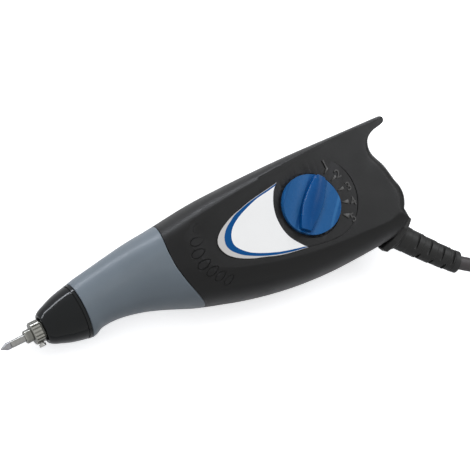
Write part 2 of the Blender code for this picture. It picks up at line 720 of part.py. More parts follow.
def grip_region():
    """What the sleeve keeps of the housing form, ahead of the boundary."""
    points = boundary_points(-GAP)
    points[0] = (points[0][0], -BELLY_DEPTH - REGION_MARGIN)
    points[-1] = (points[-1][0], SPINE_HEIGHT + REGION_MARGIN)
    points.append((GRIP_FRONT_X - REGION_MARGIN, SPINE_HEIGHT + REGION_MARGIN))
    points.append((GRIP_FRONT_X - REGION_MARGIN, -BELLY_DEPTH - REGION_MARGIN))
    reach = HALF_THICKNESS + OVERRUN
    return flat_outline("grip_region", None, pen, [points], -reach, reach)


def neck_profile(extra):
    middle = GRIP_FRONT_X + NECK_FRONT_LENGTH
    rear = middle + NECK_MIDDLE_LENGTH
    root = rear + NECK_REAR_LENGTH
    return [
        (GRIP_FRONT_X, NECK_RADIUS + extra),
        (middle, NECK_RADIUS + extra),
        (rear, NECK_MIDDLE_RADIUS + extra),
        (root, NECK_REAR_RADIUS + extra),
        (NECK_ROOT_X, NECK_ROOT_RADIUS + extra),
    ]


def front_bore():
    """The turned hollow through the neck: nose spigot, front bush, spring, then the rear bush in its rib."""
    spigot = SPIGOT_RADIUS + GAP
    collar = COLLAR_RADIUS + GAP
    bush = BUSH_RADIUS + GAP
    groove = COLLAR_REAR_X - COLLAR_LENGTH - GAP
    profile = [
        (GRIP_FRONT_X - OVERRUN, spigot),
        (groove, spigot),
        (groove, collar),
        (COLLAR_REAR_X + GAP, collar),
        (COLLAR_REAR_X + GAP, bush),
        (BUSH_REAR_X + GAP, bush),
        (BUSH_REAR_X + GAP, SPRING_CHAMBER_RADIUS),
        (CHAMBER_REAR_X, SPRING_CHAMBER_RADIUS),
        (CHAMBER_REAR_X + CHAMBER_TAPER_LENGTH, BELL_RADIUS),
        (RIB_X, BELL_REAR_RADIUS),
        (RIB_X, bush),
        (CAVITY_X + OVERRUN, bush),
    ]
    return turned("front_bore", None, pen, profile, steps=ROUND_STEPS)


def cavity():
    """The hollow of the housing, less the bosses, posts and rails that stand in it."""
    first = (CAVITY_X - GRIP_FRONT_X) / BODY_LENGTH
    stations = [first + (1 - first) * i / (CAVITY_STATIONS - 1) for i in range(CAVITY_STATIONS)]
    rings = [body_section(table_row(share), WALL, CAVITY_ARC_STEPS) for share in stations]
    hollow = loft("cavity", None, pen, rings)
    notch = along(NOTCH_SHARE)
    rear = along(REAR_FACE_SHARE)
    reach = HALF_THICKNESS + OVERRUN
    high = SPINE_HEIGHT + OVERRUN
    inner = relief_origin - (RELIEF_WALL + RELIEF_SEAT_DEPTH) * relief_ahead
    corner_x = rear - REAR_WALL
    corner_y = inner.y + (corner_x - inner.x) * relief_side.y / relief_side.x
    foot = inner - relief_side * 2 * RELIEF_FLANGE_RADIUS
    bound = [
        (CAVITY_X - OVERRUN, -BELLY_DEPTH - OVERRUN),
        (CAVITY_X - OVERRUN, high),
        (notch - REAR_WALL - EDGE_ROUND / 2, high),
        (notch - REAR_WALL - EDGE_ROUND / 2, WALL),
        (corner_x, SWITCH_Y + SWITCH_BODY_WIDTH / 2),
        (corner_x, corner_y),
        (foot.x, foot.y),
        (foot.x, -BELLY_DEPTH - OVERRUN),
    ]
    combine(hollow, flat_outline("cavity_bound", None, pen, [bound], -reach, reach), "INTERSECT")
    half_width = CLAMP_BAR_WIDTH / 2 + GAP
    clamp_top = CORD_RADIUS + CLAMP_BAR_THICKNESS + CLAMP_SCREW_HEAD_HEIGHT + 3 * GAP
    clamp_room = box("clamp_room", None, relief_frame, (clamp_x() - half_width, 0, -clamp_top),
                     (clamp_x() + half_width, CLAMP_BAR_LENGTH / 2 + GAP, clamp_top))
    combine(hollow, clamp_room, "UNION")
    for i, (x, y) in enumerate(HOUSING_SCREW_PLACES[2:]):
        profile = [(-reach, BOSS_RADIUS), (reach, BOSS_RADIUS)]
        cut(hollow, turned(f"boss_{i}", None, pen, profile, at=(x, y, 0), axis="Z"))
    for i, y in enumerate(core_screw_heights()):
        profile = [(-reach, CORE_POST_RADIUS), (-CORE_HALF_STACK - GAP, CORE_POST_RADIUS)]
        cut(hollow, turned(f"core_post_{i}", None, pen, profile, at=(core_screw_x(), y, 0), axis="Z"))
    for i, side in enumerate((-1, 1)):
        profile = [(-reach, CLAMP_POST_RADIUS), (-CLAMP_POST_DROP, CLAMP_POST_RADIUS)]
        at = (clamp_x(), side * CLAMP_SCREW_SPACING / 2, 0)
        cut(hollow, turned(f"clamp_post_{i}", None, relief_frame, profile, at=at, axis="Z", steps=TINY_STEPS))
    half = slide_half_width() + RUNNING_GAP
    low_x = CAM_X - SLIDE_HALF_OPENING_X
    for i, side in enumerate((-1, 1)):
        wall_y = sorted((DIAL_Y + side * half, DIAL_Y + side * (half + RAIL_THICKNESS)))
        lip_y = sorted((DIAL_Y + side * (half - RAIL_LIP), DIAL_Y + side * (half + RAIL_THICKNESS)))
        lip_top = SLIDE_BOTTOM - RUNNING_GAP
        lip_low = lip_top - RAIL_THICKNESS
        high_x = low_x + RAIL_LENGTH
        lip_x = low_x + STOP_TRAVEL + RUNNING_GAP
        wall = box(f"rail_{i}", None, pen, (low_x, wall_y[0], lip_low), (high_x, wall_y[1], reach))
        lip = box(f"rail_lip_{i}", None, pen, (lip_x, lip_y[0], lip_low), (high_x, lip_y[1], lip_top))
        cut(hollow, wall, lip)
    return hollow


def slide_half_width():
    return SLIDE_HALF_OPENING_Y + SLIDE_BAR


def core_screw_x():
    return CORE_X + CORE_YOKE / 2


def core_screw_heights():
    return (CORE_HALF_WIDTH - CORE_SCREW_INSET, CORE_SCREW_INSET - CORE_HALF_WIDTH)


def clamp_x():
    return -(GAP + RELIEF_WALL + GAP + RELIEF_INNER_THICKNESS + CLAMP_SET_BACK)


def drawn_in(points, amount):
    """A closed outline with every side moved inwards, its points listed against the clock or with it."""
    area = sum(a[0] * b[1] - b[0] * a[1] for a, b in zip(points, points[1:] + points[:1]))
    inwards = amount if area > 0 else -amount
    moved = []
    for before, here, after in zip(points[-1:] + points[:-1], points, points[1:] + points[:1]):
        first = (Vector(here) - Vector(before)).normalized()
        second = (Vector(after) - Vector(here)).normalized()
        normals = Vector((-first.y - second.y, first.x + second.x))
        spread = 1 + first.dot(second)
        moved.append((here[0] + inwards * normals.x / spread, here[1] + inwards * normals.y / spread))
    return moved


def label_outline():
    """The leaf beside the dial: a blunt nose to the front, and a round bite towards the dial."""
    middle_y = (LABEL_TOP_Y + LABEL_BOTTOM_Y) / 2
    half_y = (LABEL_TOP_Y - LABEL_BOTTOM_Y) / 2
    nose_x = DIAL_X - LABEL_NOSE_SET_BACK
    corner_x = DIAL_X - LABEL_CORNER_SET_BACK
    points = []
    for i in range(2 * LABEL_STEPS + 1):
        angle = pi / 2 * (i / LABEL_STEPS - 1)
        power = LABEL_LOWER_POWER if angle < 0 else LABEL_UPPER_POWER
        fall = max(0.0, cos(angle)) ** power
        points.append((corner_x - (corner_x - nose_x) * fall, middle_y + half_y * sin(angle)))
    radius = (half_y ** 2 + LABEL_BITE_DEPTH ** 2) / (2 * LABEL_BITE_DEPTH)
    bite_x = corner_x - LABEL_BITE_DEPTH + radius
    reach = asin(half_y / radius)
    for i in range(1, LABEL_STEPS):
        angle = reach * (1 - 2 * i / LABEL_STEPS)
        points.append((bite_x - radius * cos(angle), middle_y + radius * sin(angle)))
    return points


def housing():
    rings = [body_section(row, 0.0, SECTION_ARC_STEPS) for row in SECTION_SHARES]
    sleeve = loft("grip_sleeve", GREY_GRIP, pen, rings)
    combine(sleeve, grip_region(), "INTERSECT")
    bore = neck_profile(GAP)
    bore[0] = (bore[0][0] - OVERRUN, bore[0][1])
    cut(sleeve, turned("sleeve_bore", None, pen, bore, steps=ROUND_STEPS))

    region = shell_region()
    neck = turned("neck", None, pen, neck_profile(0.0), steps=ROUND_STEPS)
    hollow = cavity()
    bore = front_bore()
    reach = HALF_THICKNESS + OVERRUN
    screw_holes = []
    for i, (x, y) in enumerate(HOUSING_SCREW_PLACES):
        seat = HOUSING_SCREW_SEAT_DEPTH - HALF_THICKNESS
        hole = HOUSING_SCREW_RADIUS + GAP
        head = HOUSING_SCREW_HEAD_RADIUS + GAP
        end = seat + HOUSING_SCREW_LENGTH + GAP
        profile = [(-reach, head), (seat, head), (seat, hole), (end, hole)]
        screw_holes.append(turned(f"housing_hole_{i}", None, pen, profile, at=(x, y, 0), axis="Z"))
    relief_hole = turned("relief_hole", None, relief_frame, [
        (-(GAP + RELIEF_WALL + 3 * GAP + RELIEF_INNER_THICKNESS), RELIEF_INNER_RADIUS + GAP),
        (-(GAP + RELIEF_WALL), RELIEF_INNER_RADIUS + GAP),
        (-(GAP + RELIEF_WALL), RELIEF_NECK_RADIUS + GAP),
        (OVERRUN, RELIEF_NECK_RADIUS + GAP),
    ])
    half_length = SWITCH_BEZEL_LENGTH / 2 + GAP
    half_width = SWITCH_BEZEL_WIDTH / 2 + GAP
    seat = -(SWITCH_PROUD + SWITCH_BEZEL_THICKNESS)
    bezel_hole = box("bezel_hole", None, switch_frame, (seat, -half_length, -half_width),
                     (OVERRUN, half_length, half_width))
    half_length = SWITCH_BODY_LENGTH / 2 + GAP
    half_width = SWITCH_BODY_WIDTH / 2 + GAP
    deep = seat - SWITCH_BODY_DEPTH - TERMINAL_LENGTH - OVERRUN
    body_hole = box("switch_hole", None, switch_frame, (deep, -half_length, -half_width),
                    (0.0, half_length, half_width))

    left = loft("left_shell", BLACK_PLASTIC, pen, rings)
    right = loft("right_shell", BLACK_PLASTIC, pen, rings)
    for shell in (left, right):
        combine(shell, region, "INTERSECT")
        combine(shell, neck, "UNION")
        cut(shell, hollow, bore, *screw_holes, relief_hole, bezel_hole, body_hole)

    dial_recess = turned("dial_recess", None, dial_frame, [
        (INNER_FACE - OVERRUN, DIAL_SHAFT_RADIUS + RUNNING_GAP),
        (DIAL_SEAT, DIAL_SHAFT_RADIUS + RUNNING_GAP),
        (DIAL_SEAT, DIAL_RECESS_RADIUS),
        (reach, DIAL_RECESS_RADIUS),
    ], axis="Z", steps=ROUND_STEPS)
    label_recess = flat_outline("label_recess", None, pen, [label_outline()],
                                OUTER_FACE - LABEL_RECESS_DEPTH, reach)
    cut(left, dial_recess, label_recess)
    for i, y in enumerate(core_screw_heights()):
        depth = CORE_HALF_STACK + CORE_SCREW_DEPTH + 2 * GAP
        profile = [(-depth, CORE_SCREW_RADIUS + GAP), (0.0, CORE_SCREW_RADIUS + GAP)]
        cut(right, turned(f"core_pilot_{i}", None, pen, profile, at=(core_screw_x(), y, 0), axis="Z", steps=TINY_STEPS))
    for i, side in enumerate((-1, 1)):
        depth = CLAMP_POST_DROP + CLAMP_SCREW_DEPTH + GAP
        profile = [(-depth, CLAMP_SCREW_RADIUS + GAP), (0.0, CLAMP_SCREW_RADIUS + GAP)]
        at = (clamp_x(), side * CLAMP_SCREW_SPACING / 2, 0)
        cut(right, turned(f"clamp_pilot_{i}", None, relief_frame, profile, at=at, axis="Z", steps=TINY_STEPS))

    low_x = GRIP_FRONT_X - REGION_MARGIN
    high_x = along(1.0) + REGION_MARGIN
    low_y = -BELLY_DEPTH - REGION_MARGIN
    high_y = SPINE_HEIGHT + REGION_MARGIN
    left_half = box("left_half", None, pen, (low_x, low_y, GAP / 2), (high_x, high_y, reach))
    right_half = box("right_half", None, pen, (low_x, low_y, -reach), (high_x, high_y, -GAP / 2))
    combine(left, left_half, "INTERSECT")
    combine(right, right_half, "INTERSECT")


# Nose, chuck and point
def nose_cone():
    length = NOSE_REAR_X - NOSE_FRONT_X
    rise = NOSE_REAR_RADIUS - NOSE_FRONT_RADIUS
    outer = [(NOSE_FRONT_X + length * a, NOSE_FRONT_RADIUS + rise * b) for a, b in NOSE_SHARES]
    collar = COLLAR_REAR_X - COLLAR_LENGTH
    outer += [(NOSE_REAR_X, SPIGOT_RADIUS), (collar, SPIGOT_RADIUS), (collar, COLLAR_RADIUS),
              (COLLAR_REAR_X, COLLAR_RADIUS)]
    step = NOSE_FRONT_X + NOSE_BORE_DEPTH
    inner = [(NOSE_FRONT_X, NOSE_BORE_RADIUS), (step, NOSE_BORE_RADIUS), (step, NOSE_THROAT_RADIUS),
             (COLLAR_REAR_X, NOSE_THROAT_RADIUS)]
    turned("nose_cone", GLOSS_BLACK, pen, outer, inner, steps=ROUND_STEPS)


def point_and_chuck():
    x0 = -CHUCK_FRONT_X
    tip = [(x0, CARBIDE_TIP_RADIUS), (x0 + CARBIDE_CONE_LENGTH, SHANK_RADIUS), (x0 + CARBIDE_LENGTH, SHANK_RADIUS)]
    turned("carbide_tip", CARBIDE, plunger_frame, tip, steps=TINY_STEPS)
    shank_x = x0 + CARBIDE_LENGTH + GAP
    shank = [(shank_x, SHANK_RADIUS), (shank_x + SHANK_LENGTH, SHANK_RADIUS)]
    turned("point_shank", STEEL, plunger_frame, shank, steps=TINY_STEPS)

    collar = CHUCK_FRONT_LENGTH
    body = collar + CHUCK_COLLAR_LENGTH
    outer = [(0.0, CHUCK_FRONT_RADIUS), (collar, CHUCK_FRONT_RADIUS), (collar, CHUCK_COLLAR_RADIUS),
             (body, CHUCK_COLLAR_RADIUS), (body, CHUCK_BODY_RADIUS), (CHUCK_LENGTH, CHUCK_BODY_RADIUS)]
    socket = CHUCK_LENGTH - CHUCK_SOCKET_DEPTH
    inner = [(0.0, SHANK_RADIUS + GAP), (socket, SHANK_RADIUS + GAP), (socket, ROD_END_RADIUS + GAP),
             (CHUCK_LENGTH, ROD_END_RADIUS + GAP)]
    chuck = turned("chuck", STEEL, plunger_frame, outer, inner)
    at = (collar + CHUCK_COLLAR_LENGTH / 2, 0, 0)
    hole = [(-CHUCK_COLLAR_RADIUS - OVERRUN, SET_SCREW_RADIUS + GAP), (0.0, SET_SCREW_RADIUS + GAP)]
    cut(chuck, turned("set_screw_hole", None, plunger_frame, hole, at=at, axis="Y", steps=TINY_STEPS))
    head = -(CHUCK_COLLAR_RADIUS + GAP)
    screw = [(head - SET_SCREW_HEAD_LENGTH, SET_SCREW_HEAD_RADIUS), (head, SET_SCREW_HEAD_RADIUS),
             (head, SET_SCREW_RADIUS), (-(SHANK_RADIUS + GAP), SET_SCREW_RADIUS)]
    turned("chuck_set_screw", STEEL, plunger_frame, screw, at=at, axis="Y", steps=TINY_STEPS)


def rod_and_bushes():
    x0 = CHUCK_FRONT_X
    front = CHUCK_REAR_X + GAP
    shoulder = ARMATURE_X - GAP
    profile = [
        (CHUCK_REAR_X - CHUCK_SOCKET_DEPTH + GAP - x0, ROD_END_RADIUS),
        (front - x0, ROD_END_RADIUS),
        (front - x0, ROD_RADIUS),
        (ROD_COLLAR_X - x0, ROD_RADIUS),
        (ROD_COLLAR_X - x0, ROD_COLLAR_RADIUS),
        (ROD_COLLAR_X + ROD_COLLAR_LENGTH - x0, ROD_COLLAR_RADIUS),
        (ROD_COLLAR_X + ROD_COLLAR_LENGTH - x0, ROD_RADIUS),
        (shoulder - x0, ROD_RADIUS),
        (shoulder - x0, ROD_END_RADIUS),
        (ROD_END_X - x0, ROD_END_RADIUS),
    ]
    turned("drive_rod", STEEL, plunger_frame, profile)
    bore = ROD_RADIUS + RUNNING_GAP
    front_bush = [(BUSH_FRONT_X, BUSH_RADIUS), (BUSH_REAR_X, BUSH_RADIUS)]
    turned("front_bush", BRONZE, pen, front_bush, [(BUSH_FRONT_X, bore), (BUSH_REAR_X, bore)])
    low = RIB_X + GAP
    seat = CAVITY_X + GAP
    rear_bush = [(low, BUSH_RADIUS), (seat, BUSH_RADIUS), (seat, BUSH_FLANGE_RADIUS),
                 (seat + BUSH_FLANGE_LENGTH, BUSH_FLANGE_RADIUS)]
    turned("rear_bush", BRONZE, pen, rear_bush, [(low, bore), (seat + BUSH_FLANGE_LENGTH, bore)])

    low = SPRING_FRONT_X + SPRING_WIRE_RADIUS
    length = SPRING_LENGTH - 2 * SPRING_WIRE_RADIUS - GAP
    count = SPRING_CURLS * SPRING_POINTS_PER_CURL
    points = []
    for i in range(count + 1):
        angle = 2 * pi * i / SPRING_POINTS_PER_CURL
        points.append((low + length * i / count, SPRING_RADIUS * cos(angle), SPRING_RADIUS * sin(angle)))
    tube("return_spring", STEEL, pen, points, SPRING_WIRE_RADIUS, 1)


# Magnet
def magnet():
    bore = [(-ARMATURE_THICKNESS, ROD_END_RADIUS + GAP), (2 * ARMATURE_THICKNESS, ROD_END_RADIUS + GAP)]
    x0 = ARMATURE_X - CHUCK_FRONT_X
    armature = box("armature", CORE_STEEL, plunger_frame, (x0, -CORE_HALF_WIDTH, -CORE_HALF_STACK),
                   (x0 + ARMATURE_THICKNESS, CORE_HALF_WIDTH, CORE_HALF_STACK))
    cut(armature, turned("armature_bore", None, plunger_frame, bore, at=(x0, 0, 0), steps=TINY_STEPS))
    nut_x = NUT_X - CHUCK_FRONT_X
    turned("armature_nut", STEEL, plunger_frame, [(nut_x, NUT_RADIUS), (nut_x + NUT_THICKNESS, NUT_RADIUS)],
           [(nut_x, ROD_END_RADIUS + GAP), (nut_x + NUT_THICKNESS, ROD_END_RADIUS + GAP)], steps=NUT_SIDES)

    legs = CORE_X + CORE_YOKE
    inner = CORE_HALF_WIDTH - CORE_LEG_WIDTH
    outline = [(CORE_X, -CORE_HALF_WIDTH)]
    for low, high in ((-CORE_HALF_WIDTH, -inner), (-CORE_HALF_CENTRE, CORE_HALF_CENTRE), (inner, CORE_HALF_WIDTH)):
        if low > -CORE_HALF_WIDTH:
            outline.append((legs, low))
        outline += [(CORE_REAR_X, low), (CORE_REAR_X, high)]
        if high < CORE_HALF_WIDTH:
            outline.append((legs, high))
    outline.append((CORE_X, CORE_HALF_WIDTH))
    core = flat_outline("laminated_core", CORE_STEEL, pen, [outline], -CORE_HALF_STACK, CORE_HALF_STACK)
    hole = [(CORE_X - OVERRUN, CORE_HOLE_RADIUS), (CORE_REAR_X + OVERRUN, CORE_HOLE_RADIUS)]
    cut(core, turned("core_hole", None, pen, hole, steps=TINY_STEPS))
    for i, y in enumerate(core_screw_heights()):
        at = (core_screw_x(), y, 0)
        reach = CORE_HALF_STACK + OVERRUN
        profile = [(-reach, CORE_SCREW_RADIUS + GAP), (reach, CORE_SCREW_RADIUS + GAP)]
        cut(core, turned(f"core_screw_hole_{i}", None, pen, profile, at=at, axis="Z", steps=TINY_STEPS))
        head = CORE_HALF_STACK + GAP
        screw = [(-CORE_HALF_STACK - CORE_SCREW_DEPTH, CORE_SCREW_RADIUS), (head, CORE_SCREW_RADIUS),
                 (head, CORE_SCREW_HEAD_RADIUS), (head + CORE_SCREW_HEAD_HEIGHT, CORE_SCREW_HEAD_RADIUS)]
        turned(f"core_screw_{i + 1}", STEEL, pen, screw, at=at, axis="Z", steps=TINY_STEPS)

    low_x = legs + GAP
    high_x = CORE_REAR_X - GAP
    hole_y = CORE_HALF_CENTRE + GAP
    hole_z = CORE_HALF_STACK + GAP
    tube_y = hole_y + BOBBIN_WALL
    tube_z = hole_z + BOBBIN_WALL
    flange_y = inner - GAP
    bobbin = box("coil_bobbin", NYLON, pen, (low_x, -tube_y, -tube_z), (high_x, tube_y, tube_z))
    for i, x in enumerate((low_x, high_x - BOBBIN_FLANGE)):
        flange = box(f"bobbin_flange_{i}", None, pen, (x, -flange_y, -BOBBIN_FLANGE_HALF_HEIGHT),
                     (x + BOBBIN_FLANGE, flange_y, BOBBIN_FLANGE_HALF_HEIGHT))
        combine(bobbin, flange, "UNION")
    cut(bobbin, box("bobbin_hole", None, pen, (low_x - OVERRUN, -hole_y, -hole_z),
                    (high_x + OVERRUN, hole_y, hole_z)))

    def rounded(half_width, half_height, radius):
        loop = []
        for quarter, (sx, sy) in enumerate(((1, 1), (-1, 1), (-1, -1), (1, -1))):
            for i in range(WINDING_CORNER_STEPS + 1):
                angle = pi / 2 * (quarter + i / WINDING_CORNER_STEPS)
                loop.append((sx * (half_width - radius) + radius * cos(angle),
                             sy * (half_height - radius) + radius * sin(angle)))
        return loop

    inner_y = tube_y + GAP
    inner_z = tube_z + GAP
    outer = rounded(inner_z + WINDING_DEPTH, inner_y + WINDING_DEPTH, WINDING_DEPTH)
    inside = [(inner_z, inner_y), (-inner_z, inner_y), (-inner_z, -inner_y), (inner_z, -inner_y)]
    flat_outline("coil_winding", COPPER, pen, [outer, inside], low_x + BOBBIN_FLANGE + GAP,
                 high_x - BOBBIN_FLANGE - GAP, (0, pi / 2, 0))


# Dial, cam, stop slide
def ridge_outline():
    """The dial's grip bar, widest over the axis, its ends within the rim."""
    reach = DIAL_RADIUS - DIAL_EDGE
    side = []
    for i in range(DIAL_RIDGE_STEPS + 1):
        t = 2 * i / DIAL_RIDGE_STEPS - 1
        half = DIAL_RIDGE_WIDTH / 2 * (1 - (1 - DIAL_RIDGE_END_SHARE) * t * t)
        side.append((t * (reach ** 2 - half ** 2) ** 0.5, half))
    return [(x, -y) for x, y in side] + side[::-1]


def dial():
    pin_top = INNER_FACE - GAP
    pin_bottom = CAM_BOTTOM + CAM_SCREW_HEAD_HEIGHT / 2
    bottom = DIAL_SEAT + GAP
    top = bottom + DIAL_HEIGHT
    profile = [
        (pin_bottom, DIAL_PIN_RADIUS), (pin_top, DIAL_PIN_RADIUS), (pin_top, DIAL_SHAFT_RADIUS),
        (bottom, DIAL_SHAFT_RADIUS), (bottom, DIAL_RADIUS), (top - DIAL_EDGE, DIAL_RADIUS),
        (top, DIAL_RADIUS - DIAL_EDGE),
    ]
    knob = turned("dial_knob", BLUE_PLASTIC, dial_frame, profile, axis="Z", steps=ROUND_STEPS)
    turn = (0, 0, radians(DIAL_POINTER_DEGREES))
    axis_z = top - DIAL_SCOOP_DEPTH + DIAL_SCOOP_RADIUS
    for i, side in enumerate((-1, 1)):
        x = -side * DIAL_SCOOP_OFFSET * sin(turn[2])
        y = side * DIAL_SCOOP_OFFSET * cos(turn[2])
        scoop = turned(f"dial_scoop_{i}", None, dial_frame, [(-2 * DIAL_RADIUS, DIAL_SCOOP_RADIUS),
                       (2 * DIAL_RADIUS, DIAL_SCOOP_RADIUS)], at=(x, y, axis_z), steps=2 * ROUND_STEPS)
        scoop.rotation_euler = (0, pi / 2, turn[2])
        cut(knob, scoop)
    ridge = flat_outline("dial_ridge", None, dial_frame, [ridge_outline()], bottom + GAP, top + DIAL_RIDGE_HEIGHT, turn)
    combine(knob, ridge, "UNION")
    pilot = CAM_SCREW_RADIUS + GAP
    depth = pin_bottom + CAM_SCREW_LENGTH
    cut(knob, turned("cam_pilot", None, dial_frame, [(pin_bottom - OVERRUN, pilot), (depth, pilot)], axis="Z",
                     steps=TINY_STEPS))

    shaft = DIAL_PIN_RADIUS + GAP
    low = WASHER_TOP - WASHER_THICKNESS
    turned("dial_washer", NYLON, dial_frame, [(low, WASHER_RADIUS), (WASHER_TOP, WASHER_RADIUS)],
           [(low, shaft), (WASHER_TOP, shaft)], axis="Z", steps=ROUND_STEPS)

    cam = turned("stroke_cam", BRASS, dial_frame, [(CAM_FLANGE_BOTTOM, CAM_FLANGE_RADIUS), (CAM_TOP, CAM_FLANGE_RADIUS)],
                 axis="Z", steps=ROUND_STEPS)
    eccentric = turned("eccentric", None, dial_frame, [(CAM_BOTTOM, CAM_RADIUS), (CAM_TOP - GAP, CAM_RADIUS)],
                       at=(CAM_X - DIAL_X, CAM_Y - DIAL_Y, 0), axis="Z", steps=ROUND_STEPS)
    combine(cam, eccentric, "UNION")
    cut(cam, turned("cam_bore", None, dial_frame, [(CAM_BOTTOM - OVERRUN, shaft), (CAM_TOP + OVERRUN, shaft)], axis="Z",
                    steps=TINY_STEPS))

    seat = CAM_BOTTOM - GAP
    screw = [(seat - CAM_SCREW_HEAD_HEIGHT, CAM_SCREW_HEAD_RADIUS), (seat, CAM_SCREW_HEAD_RADIUS),
             (seat, CAM_SCREW_RADIUS), (depth - GAP, CAM_SCREW_RADIUS)]
    turned("cam_screw", STEEL, dial_frame, screw, axis="Z", steps=TINY_STEPS)


def stop_slide():
    x = SLIDE_HALF_OPENING_X
    y = SLIDE_HALF_OPENING_Y
    bar = SLIDE_BAR
    slide = box("stop_slide", NYLON, slide_frame, (-x - bar, -y - bar, SLIDE_BOTTOM), (x + bar, y + bar, SLIDE_TOP))
    cut(slide, box("slide_opening", None, slide_frame, (-x, -y, SLIDE_BOTTOM - OVERRUN), (x, y, SLIDE_TOP + OVERRUN)))
    rod_y = -DIAL_Y
    plate = box("slide_plate", None, slide_frame,
                (-x - bar, rod_y - SLIDE_PLATE_HALF_WIDTH, -SLIDE_PLATE_DROP),
                (-x, rod_y + SLIDE_PLATE_HALF_WIDTH, SLIDE_TOP - GAP))
    combine(slide, plate, "UNION")
    face = -x - bar - GAP
    bumper = [(face - BUMPER_THICKNESS, BUMPER_RADIUS), (face, BUMPER_RADIUS)]
    turned("stop_bumper", RUBBER, slide_frame, bumper, at=(0, rod_y, 0))


def label():
    low = OUTER_FACE - LABEL_RECESS_DEPTH + GAP
    outline = drawn_in(label_outline(), GAP)
    flat_outline("label_plate", WHITE_LABEL, pen, [outline], low, low + LABEL_THICKNESS)


# Fasteners of the housing
def housing_screws():
    seat = HOUSING_SCREW_SEAT_DEPTH - HALF_THICKNESS - GAP
    profile = [
        (seat - HOUSING_SCREW_HEAD_HEIGHT, HOUSING_SCREW_HEAD_RADIUS), (seat, HOUSING_SCREW_HEAD_RADIUS),
        (seat, HOUSING_SCREW_RADIUS), (seat + HOUSING_SCREW_LENGTH, HOUSING_SCREW_RADIUS),
    ]
    for i, (x, y) in enumerate(HOUSING_SCREW_PLACES):
        turned(f"housing_screw_{i + 1}", STEEL, pen, profile, at=(x, y, 0), axis="Z", steps=TINY_STEPS)


# Switch
def switch():
    half_length = SWITCH_BEZEL_LENGTH / 2
    half_width = SWITCH_BEZEL_WIDTH / 2
    back = GAP - SWITCH_PROUD - SWITCH_BEZEL_THICKNESS
    body = box("switch_body", BLACK_PLASTIC, switch_frame, (back, -half_length, -half_width),
               (0.0, half_length, half_width))
    deep = back - SWITCH_BODY_DEPTH
    case = box("switch_case", None, switch_frame, (deep, -SWITCH_BODY_LENGTH / 2, -SWITCH_BODY_WIDTH / 2),
               (back / 2, SWITCH_BODY_LENGTH / 2, SWITCH_BODY_WIDTH / 2))
    combine(body, case, "UNION")
    for i, side in enumerate((-1, 1)):
        y = side * TERMINAL_SPACING / 2
        terminal = box(f"switch_terminal_{i}", None, switch_frame,
                       (deep - TERMINAL_LENGTH, y - TERMINAL_THICKNESS / 2, -TERMINAL_WIDTH / 2),
                       (deep / 2, y + TERMINAL_THICKNESS / 2, TERMINAL_WIDTH / 2))
        combine(body, terminal, "UNION")
    well_length = SWITCH_BODY_LENGTH / 2 - SWITCH_RIM
    well_width = SWITCH_BODY_WIDTH / 2 - SWITCH_RIM
    cut(body, box("switch_well", None, switch_frame, (-SWITCH_WELL_DEPTH, -well_length, -well_width),
                  (OVERRUN, well_length, well_width)))

    reach = well_length - 2 * GAP
    back = reach * ROCKER_BACK_SHARE
    face = reach * ROCKER_FACE_SHARE
    rise = ROCKER_RISE + ROCKER_PIVOT_DEPTH
    outline = [(-ROCKER_DEPTH, -back), (rise, -face), (rise - ROCKER_DISH, 0.0), (rise, face), (-ROCKER_DEPTH, back)]
    half = well_width - GAP
    flat_outline("switch_rocker", BLACK_PLASTIC, rocker_frame, [outline], -half, half)


# Strain relief and the cord inside
def arc_point(distance, length, bend):
    """A place on an arc that leaves the origin along X and turns by bend over its length."""
    angle = bend * distance / length
    radius = length / bend
    return radius * sin(angle), radius * (1 - cos(angle))


